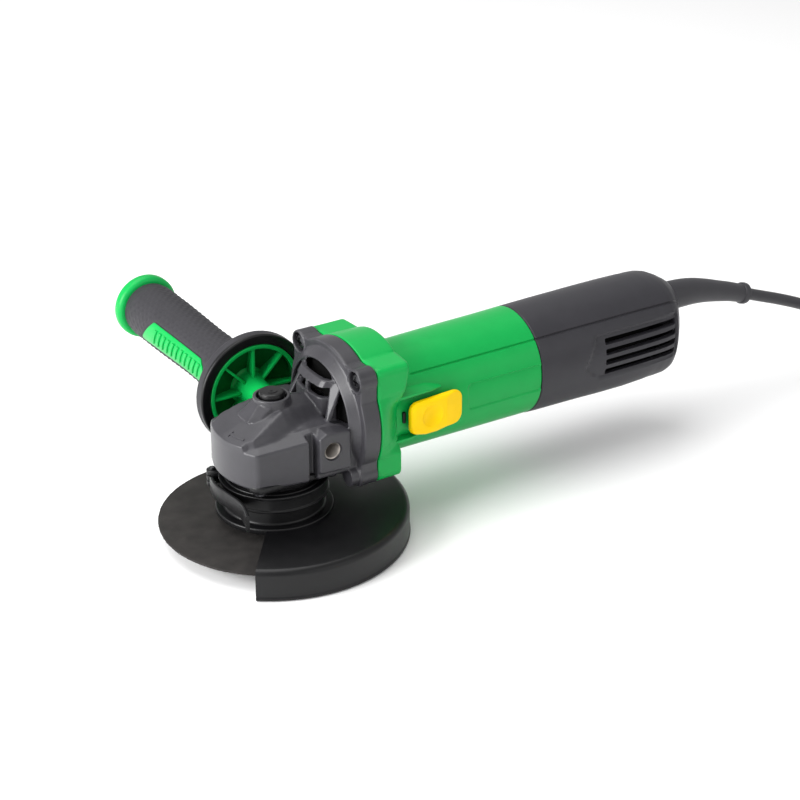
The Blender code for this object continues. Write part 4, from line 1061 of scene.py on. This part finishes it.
def switch_slider():
    """The yellow slider: a big-cornered pad with a thumb dimple, hollowed to ride on the housing."""
    outline = rounded([(63.6, 9.4), (63.6, -8.2), (73.0, -10.6), (80.0, -10.6), (87.0, -9.4), (97.2, -8.6),
                       (97.2, 10.9)], [5.0, 4.6, 6.0, 6.0, 5.0, 5.4, 6.0], steps=6)
    centre = (80.4, 0.4)
    rings = []
    for y, inset in ((-26.0, 5.0), (-32.0, 5.0), (-32.3, 0.3), (-32.8, 0.0), (-34.6, 0.2), (-35.4, 0.9),
            (-35.85, 1.9), (-36.0, 3.2)):
        ring = []
        for x, z in outline:
            away = Vector((x - centre[0], z - centre[1]))
            spot = away - away.normalized() * inset
            ring.append((centre[0] + spot.x, y, centre[1] + spot.y))
        rings.append(ring)
    dimple = turn([(11 * sin(a), -11 * cos(a)) for a in (radians(4 * i) for i in range(46))],
            64, False)
    moved(dimple, "Y", (76.8, -44.9, 0.0))
    slope = hull([(x, y, z) for z in (-20, 22) for x, y in ((84.6, -36.3), (98.0, -33.2), (98.0, -40.0),
            (84.6, -40.0))])
    seat = moved(peg(96, (30.85, 50), (30.85, 110)), "X")
    body = cut(melt(cut(skin(rings), dimple, slope), 0.3, 6), seat)
    piece("switch_slider_pad", body, "switch", "yellow_plastic", ["switch_slider"], 30)


def cover_screw():
    """The screw that holds the rear cover, from below."""
    screw = moved(cross_screw(3.6, 1.4, -1), "Z", (COVER_SCREW_X, 0, -29.7))
    piece("rear_cover_screw_head", screw, "tool_body", "steel", ["rear_cover_screw"], 30, paint="dark_steel")


def cord_boot():
    """The bent rubber sleeve, thinning to the bead at its tip."""
    knots = [(251.2, LEAD_Z, 10.4), (253.0, LEAD_Z, 10.4), (253.4, LEAD_Z, 8.7), (265, 12.6, 8.5),
            (272, 12.4, 8.3), (280, 11.7, 7.8), (290, 9.8, 7.0), (300, 7.2, 6.3), (310, 4.4, 5.8),
            (315.2, 2.6, 5.6)]
    xs, middles, widths = zip(*knots)
    line = []
    for here, after in zip(xs, xs[1:]):
        count = max(1, round((after - here) / 2))
        line += [here + (after - here) * i / count for i in range(count)]
    line.append(xs[-1])
    spots = list(zip(line, smooth_values(xs, middles, line), (float(np.interp(x, xs, widths)) for x in line)))
    spots += [(317.8, 1.75, 5.6), (318.2, 1.64, 6.2), (318.8, 1.46, 6.45), (320.8, 0.88, 6.45),
            (321.6, 0.65, 6.2), (322.0, 0.53, 5.4), (323.0, 0.2, 4.6)]
    rings = []
    for i, (x, z, radius) in enumerate(spots):
        before, after = spots[max(i - 1, 0)], spots[min(i + 1, len(spots) - 1)]
        lean = atan2(after[1] - before[1], after[0] - before[0])
        rings.append([(x - up * sin(lean), y, z + up * cos(lean)) for y, up in circle(radius, 64)])
    piece("cord_boot_sleeve", skin(rings), "tool_body", "cord_rubber", ["cord_boot"], 40)


def mains_plug():
    """A two-pin plug: a ribbed neck, a broad moulded body and two sleeved pins."""
    x = COIL_CENTRE[0] - 28.0
    start = COIL_CENTRE[1] - COIL_OUTER_TURN + 36.3
    z = COIL_FLOOR + 3 * COIL_STEP + 8.3
    sections = [(0, 4.0, 4.0, 2), (0.5, 4.6, 4.6, 2)]
    for i in range(5):
        along = 1.6 + 2.9 * i
        sections += [(along, 4.7, 4.7, 2), (along + 0.3, 4.1, 4.1, 2), (along + 1.1, 4.1, 4.1, 2),
                     (along + 1.4, 4.8, 4.8, 2)]
    sections += [(16.4, 5.2, 5.2, 2), (17.4, 8.4, 6.3, 2.3), (20, 11.4, 7.2, 2.6), (24, 14.0, 7.8, 3.0)]
    for i in range(4):
        along = 26 + 3.0 * i
        wide = 14.9 + 0.75 * i
        sections += [(along, wide, 8.0, 3.2), (along + 0.5, wide - 0.5, 7.5, 3.2),
                (along + 1.3, wide - 0.4, 7.5, 3.2), (along + 1.8, wide + 0.3, 8.0, 3.2)]
    sections += [(38.5, 17.5, 8.0, 3.6), (44.2, 17.5, 8.0, 3.6), (45.4, 17.1, 7.6, 3.6),
            (46.0, 16.2, 6.8, 3.6)]
    rings = []
    for along, wide, thick, power in sections:
        ring = []
        for k in range(72):
            angle = 2 * pi * k / 72
            u, v = cos(angle), sin(angle)
            ring.append((x + copysign(abs(u) ** (2 / power), u) * wide, start + along,
                         z + copysign(abs(v) ** (2 / power), v) * thick))
        rings.append(ring)
    sleeves, tips = [], []
    for side in (-1, 1):
        at = (x + 9.5 * side, 0, z)
        sleeve = peg(32, (2.3, start + 44), (2.3, start + 55.6), (2.05, start + 56))
        tip = peg(32, (2.1, start + 50), (2.1, start + 57), (2.35, start + 57.4), (2.35, start + 63),
                  (1.9, start + 64.5), (1.0, start + 65))
        sleeves.append(moved(sleeve, "Y", at))
        tips.append(moved(tip, "Y", at))
    piece("mains_plug_body", gathered(skin(rings), *sleeves), "tool_body", "cord_rubber", ["mains_plug"], 30)
    piece("mains_plug_pins", gathered(*tips), "tool_body", "brass", (), 30)


# ---------------------------------------------------------------- side handle

HANDLE_DISC = 50.5
HANDLE_END = 190.0
HANDLE_START = 34.0
HANDLE_RIM_R = 33.2
PANEL_Y = (81.5, 161.0)
PANEL_ANGLES = (244.0, 299.5)


def grip_radius(y):
    """The soft grip's radius along its length, a little waisted."""
    return float(np.interp(y, (62, 66, 75, 92, 110, 150, 176, 182.2),
                           (19.4, 17.4, 16.4, 15.6, 15.4, 16.3, 16.4, 15.8)))


def panel_span(y):
    """The inlay's first and last angle at a distance along the grip; its ends are slanted."""
    low, high = PANEL_ANGLES
    first, last = PANEL_Y
    return low, float(np.interp(y, (first, first + 1.5, first + 7.3, last - 14.7, last),
                                (low + 2, 282, high, high, low + 3)))


def handle_grip():
    """The soft sleeve, with rows of small scales over its grip and a dished flange at its foot."""
    steps = 168
    profile = [(grip_radius(182.2 - 0.68 * i), 182.2 - 0.68 * i, 1) for i in range(172)]
    flare = rounded([(grip_radius(65.2), 65.2), (19.4, 63.2), (HANDLE_RIM_R, 58.2), (HANDLE_RIM_R, 52.4),
                     (30.0, 52.4), (27.5, 55.0), (27.5, HANDLE_DISC + 7.0), (11.7, HANDLE_DISC + 11.0),
                     (11.7, 182.2)], [0, 5.0, 3.0, 0.3, 0, 0, 0, 0, 0], steps=6)
    profile += [(r, y, 0) for r, y in flare[1:]]
    rings = []
    for radius, y, outer in profile:
        ring = []
        for k in range(steps):
            angle = 2 * pi * k / steps
            r = radius
            if outer:
                strength = smoothstep(66, 72, y) * (1 - smoothstep(176, 180.5, y))
                scale = cos(18 * angle) * cos(1.2 * y)
                start, end = panel_span(y)
                degrees = math.degrees(angle)
                if PANEL_Y[0] - 1.5 < y < PANEL_Y[1] + 1.5 and start - 5 < degrees < end + 5:
                    strength = 0
                    inside = min(degrees - start + 5, end + 5 - degrees, 4 * (y - PANEL_Y[0] + 1.5),
                                 4 * (PANEL_Y[1] + 1.5 - y))
                    r -= 0.7 * smoothstep(0, 3.5, inside)
                r += 0.32 * strength * max(-0.15, scale)
            ring.append((r * cos(angle), r * sin(angle), y))
        rings.append(ring)
    rim = rounded([(27.5, HANDLE_DISC), (32.6, HANDLE_DISC), (HANDLE_RIM_R, 51.4), (HANDLE_RIM_R, 52.9),
            (27.5, 56.0)], [0.7, 1.2, 0.8, 0.2, 0])
    piece("handle_rim", turn(rim, 120), "side_handle", "soft_grip", (), 30, *HANDLE_LINE, "black_steel")
    piece("handle_grip_sleeve", skin(rings, closed=True), "side_handle", "soft_grip", ["handle_grip"], 50,
          *HANDLE_LINE)


def grip_panel():
    """The green inlay that follows the grip, with a row of raised slanted bars on it."""
    def patch(y_low, y_high, span, low, high, rows, columns):
        sheets = []
        for lift in (high, low):
            sheet = []
            for i in range(rows + 1):
                y = y_low + (y_high - y_low) * i / rows
                start, end = span(y)
                line = []
                for k in range(columns + 1):
                    edge = lift == high and (k in (0, columns) or i in (0, rows))
                    r = grip_radius(y) + lift - (0.22 if edge else 0)
                    line.append((*polar(r, start + (end - start) * k / columns), y))
                sheet.append(line)
            sheets.append(sheet)
        return skin([top + under[::-1] for top, under in zip(*sheets)])

    low, high = PANEL_ANGLES
    solids = [patch(*PANEL_Y, panel_span, -1.6, 0.12, 72, 20)]
    section = ((-1.3, -0.4), (-1.3, 0.65), (-0.9, 0.95), (0.9, 0.95), (1.3, 0.65), (1.3, -0.4))
    bars, lean = 11, -0.12
    for i in range(bars):
        y = PANEL_Y[0] + 12 + (PANEL_Y[1] - PANEL_Y[0] - 27) * i / (bars - 1)
        rings = []
        for k in range(9):
            degrees = low + 13 + (high - low - 24) * k / 8
            along = y + lean * (degrees - low)
            rings.append([(*polar(grip_radius(along) + up, degrees), along + side) for side, up in section])
        solids.append(skin(rings))
    piece("handle_grip_inlay", gathered(*solids), "side_handle", "green_plastic", (), 30, *HANDLE_LINE)


def handle_core():
    """The green core: an end cap, a spoked dish at the foot and the boss round the stud."""
    disc, end = HANDLE_DISC, HANDLE_END
    outline = rounded([(4.1, end - 1.6), (14.2, end - 1.6), (15.4, end), (19.3, end), (19.3, end - 7.2),
            (11.5, end - 7.4), (11.5, disc + 10.6), (27.2, disc + 6.6), (27.2, disc), (24.9, disc),
            (24.9, disc + 5.6), (9.4, disc + 9.6), (7.6, disc - 1), (7.2, HANDLE_START + 3),
            (9.4, HANDLE_START + 1.6), (9.4, HANDLE_START), (4.1, HANDLE_START)],
            [0, 0.5, 0.6, 2.6, 3.2, 0, 0, 0, 0.5, 0.5, 1.6, 3.0, 3.0, 1.0, 0.6, 0.5, 0], steps=6)
    solids = [turn(outline, 96)]
    for i in range(8):
        rib = [(7.2, disc + 0.9), (25.6, disc + 0.9), (25.6, disc + 5.8), (7.2, disc + 9.8)]
        rings = [[(r, side, y) for r, y in rib] for side in (-0.75, 0.75)]
        solids.append(moved(soft_edges(skin(rings), 0.35, 2), "Z", turn_z=45 * i))
    # the dish floor gets the darker green as painted shade for the shadowed recess between the spokes
    dish = rounded([(24.85, disc + 1.6), (24.85, disc + 5.6), (9.4, disc + 9.6), (9.4, disc + 9.2),
            (24.4, disc + 5.2), (24.4, disc + 1.6)], 0.1)
    piece("handle_dish", turn(dish, 96), "side_handle", "green_plastic", (), 30, *HANDLE_LINE, "painted_shade_green")
    piece("handle_core_body", gathered(*solids), "side_handle", "green_plastic", ["handle_core"], 35,
            *HANDLE_LINE)


# ---------------------------------------------------------------- mains lead

CORD_R = 3.5
CORD_ROUTE = [
    (323.4, 0, 0.05), (334, 0, -3.9), (350, 0, -9.8), (368, 0, -17.2), (388, 0, -27.0), (406, -0.5, -38.0),
    (422, -1, -47.5), (438, -1.5, -54.8), (450, -1.8, -58.6), (460.0, -2.0, -59.6),
]
COIL_CENTRE = (460.0, -54.9)
COIL_OUTER_TURN = 45.5
COIL_STEP = 7.0
COIL_FLOOR = GUARD_BOTTOM + 0.1
COIL_LOW = COIL_FLOOR + CORD_R


def coil_turns():
    """Two layers of three turns, and a part turn on top that ends over the coil's south side."""
    x, y = COIL_CENTRE
    outer = COIL_OUTER_TURN
    inner = outer - 2 * COIL_STEP
    path = []
    per_turn = 24

    def wind(start, end, from_r, to_r, from_z, to_z):
        """Clockwise, angles in turns counted from the coil's north side."""
        count = max(2, round(abs(end - start) * per_turn))
        for i in range(1, count + 1):
            t = i / count
            angle = pi / 2 - 2 * pi * (start + (end - start) * t)
            radius = from_r + (to_r - from_r) * t
            path.append(Vector((x + radius * cos(angle), y + radius * sin(angle),
                                from_z + (to_z - from_z) * t)))

    # each turn keeps its radius and steps inward or outward over its last sixth
    turn_at, height = 0.0, COIL_LOW
    radii = [outer, outer - COIL_STEP, inner]
    for layer in range(2):
        order = radii if layer == 0 else radii[::-1]
        for i, radius in enumerate(order):
            wind(turn_at, turn_at + 5 / 6, radius, radius, height, height)
            after = order[i + 1] if i < 2 else radius
            rise = 0 if i < 2 else COIL_STEP
            wind(turn_at + 5 / 6, turn_at + 1, radius, after, height, height + rise)
            height += rise
            turn_at += 1
    wind(turn_at, turn_at + 0.5 - 1 / 18, outer, outer, height, height)
    return path


def mains_lead():
    """The cord: from the boot down to the floor, round the coil and up into the plug."""
    x, y = COIL_CENTRE
    bend = 28.0
    top = COIL_FLOOR + 3 * COIL_STEP
    lift = top + 0.3 + CORD_R
    plug_z = top + 0.3 + 8.0
    south = y - COIL_OUTER_TURN
    climb = [Vector((px, py, lift + (plug_z - lift) * i / 6))
             for i, (px, py) in enumerate(arc((x, south + bend), bend, 250, 180, 6))]
    climb += [Vector((x - bend, south + bend + along, plug_z)) for along in (4, 8)]
    path = smooth_path(CORD_ROUTE, 6.0) + coil_turns()
    path += smooth_path([path[-1]] + climb, 6.0)[1:]
    curve = bpy.data.curves.new("mains_lead", "CURVE")
    curve.dimensions = "3D"
    curve.bevel_depth = CORD_R * MM
    curve.bevel_resolution = 5
    curve.use_fill_caps = True
    spline = curve.splines.new("POLY")
    spline.points.add(len(path) - 1)
    for point, place in zip(spline.points, path):
        point.co = (*(TO_ROW @ place), 1)
    spline.use_smooth = True
    lead = placed("mains_lead", curve)
    curve.materials.append(PAINT["cord_rubber"])
    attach(lead, "tool_body")
    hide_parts("mains_cord", "cord_coil", "cord_end")


for build in (
        stage, repaint_frame, mains_plug, mains_lead, gear_head, motor_housing, rear_cover, vent_shade_sheets,
        cage_shade_lining, thread_inserts, flange_screws, lock_button, bearing_cover, cutting_disc, lock_nut,
        wheel_guard, clamp_band, clamp_lever, switch_slider, cover_screw, cord_boot, handle_core,
        handle_grip, grip_panel,
):
    build()
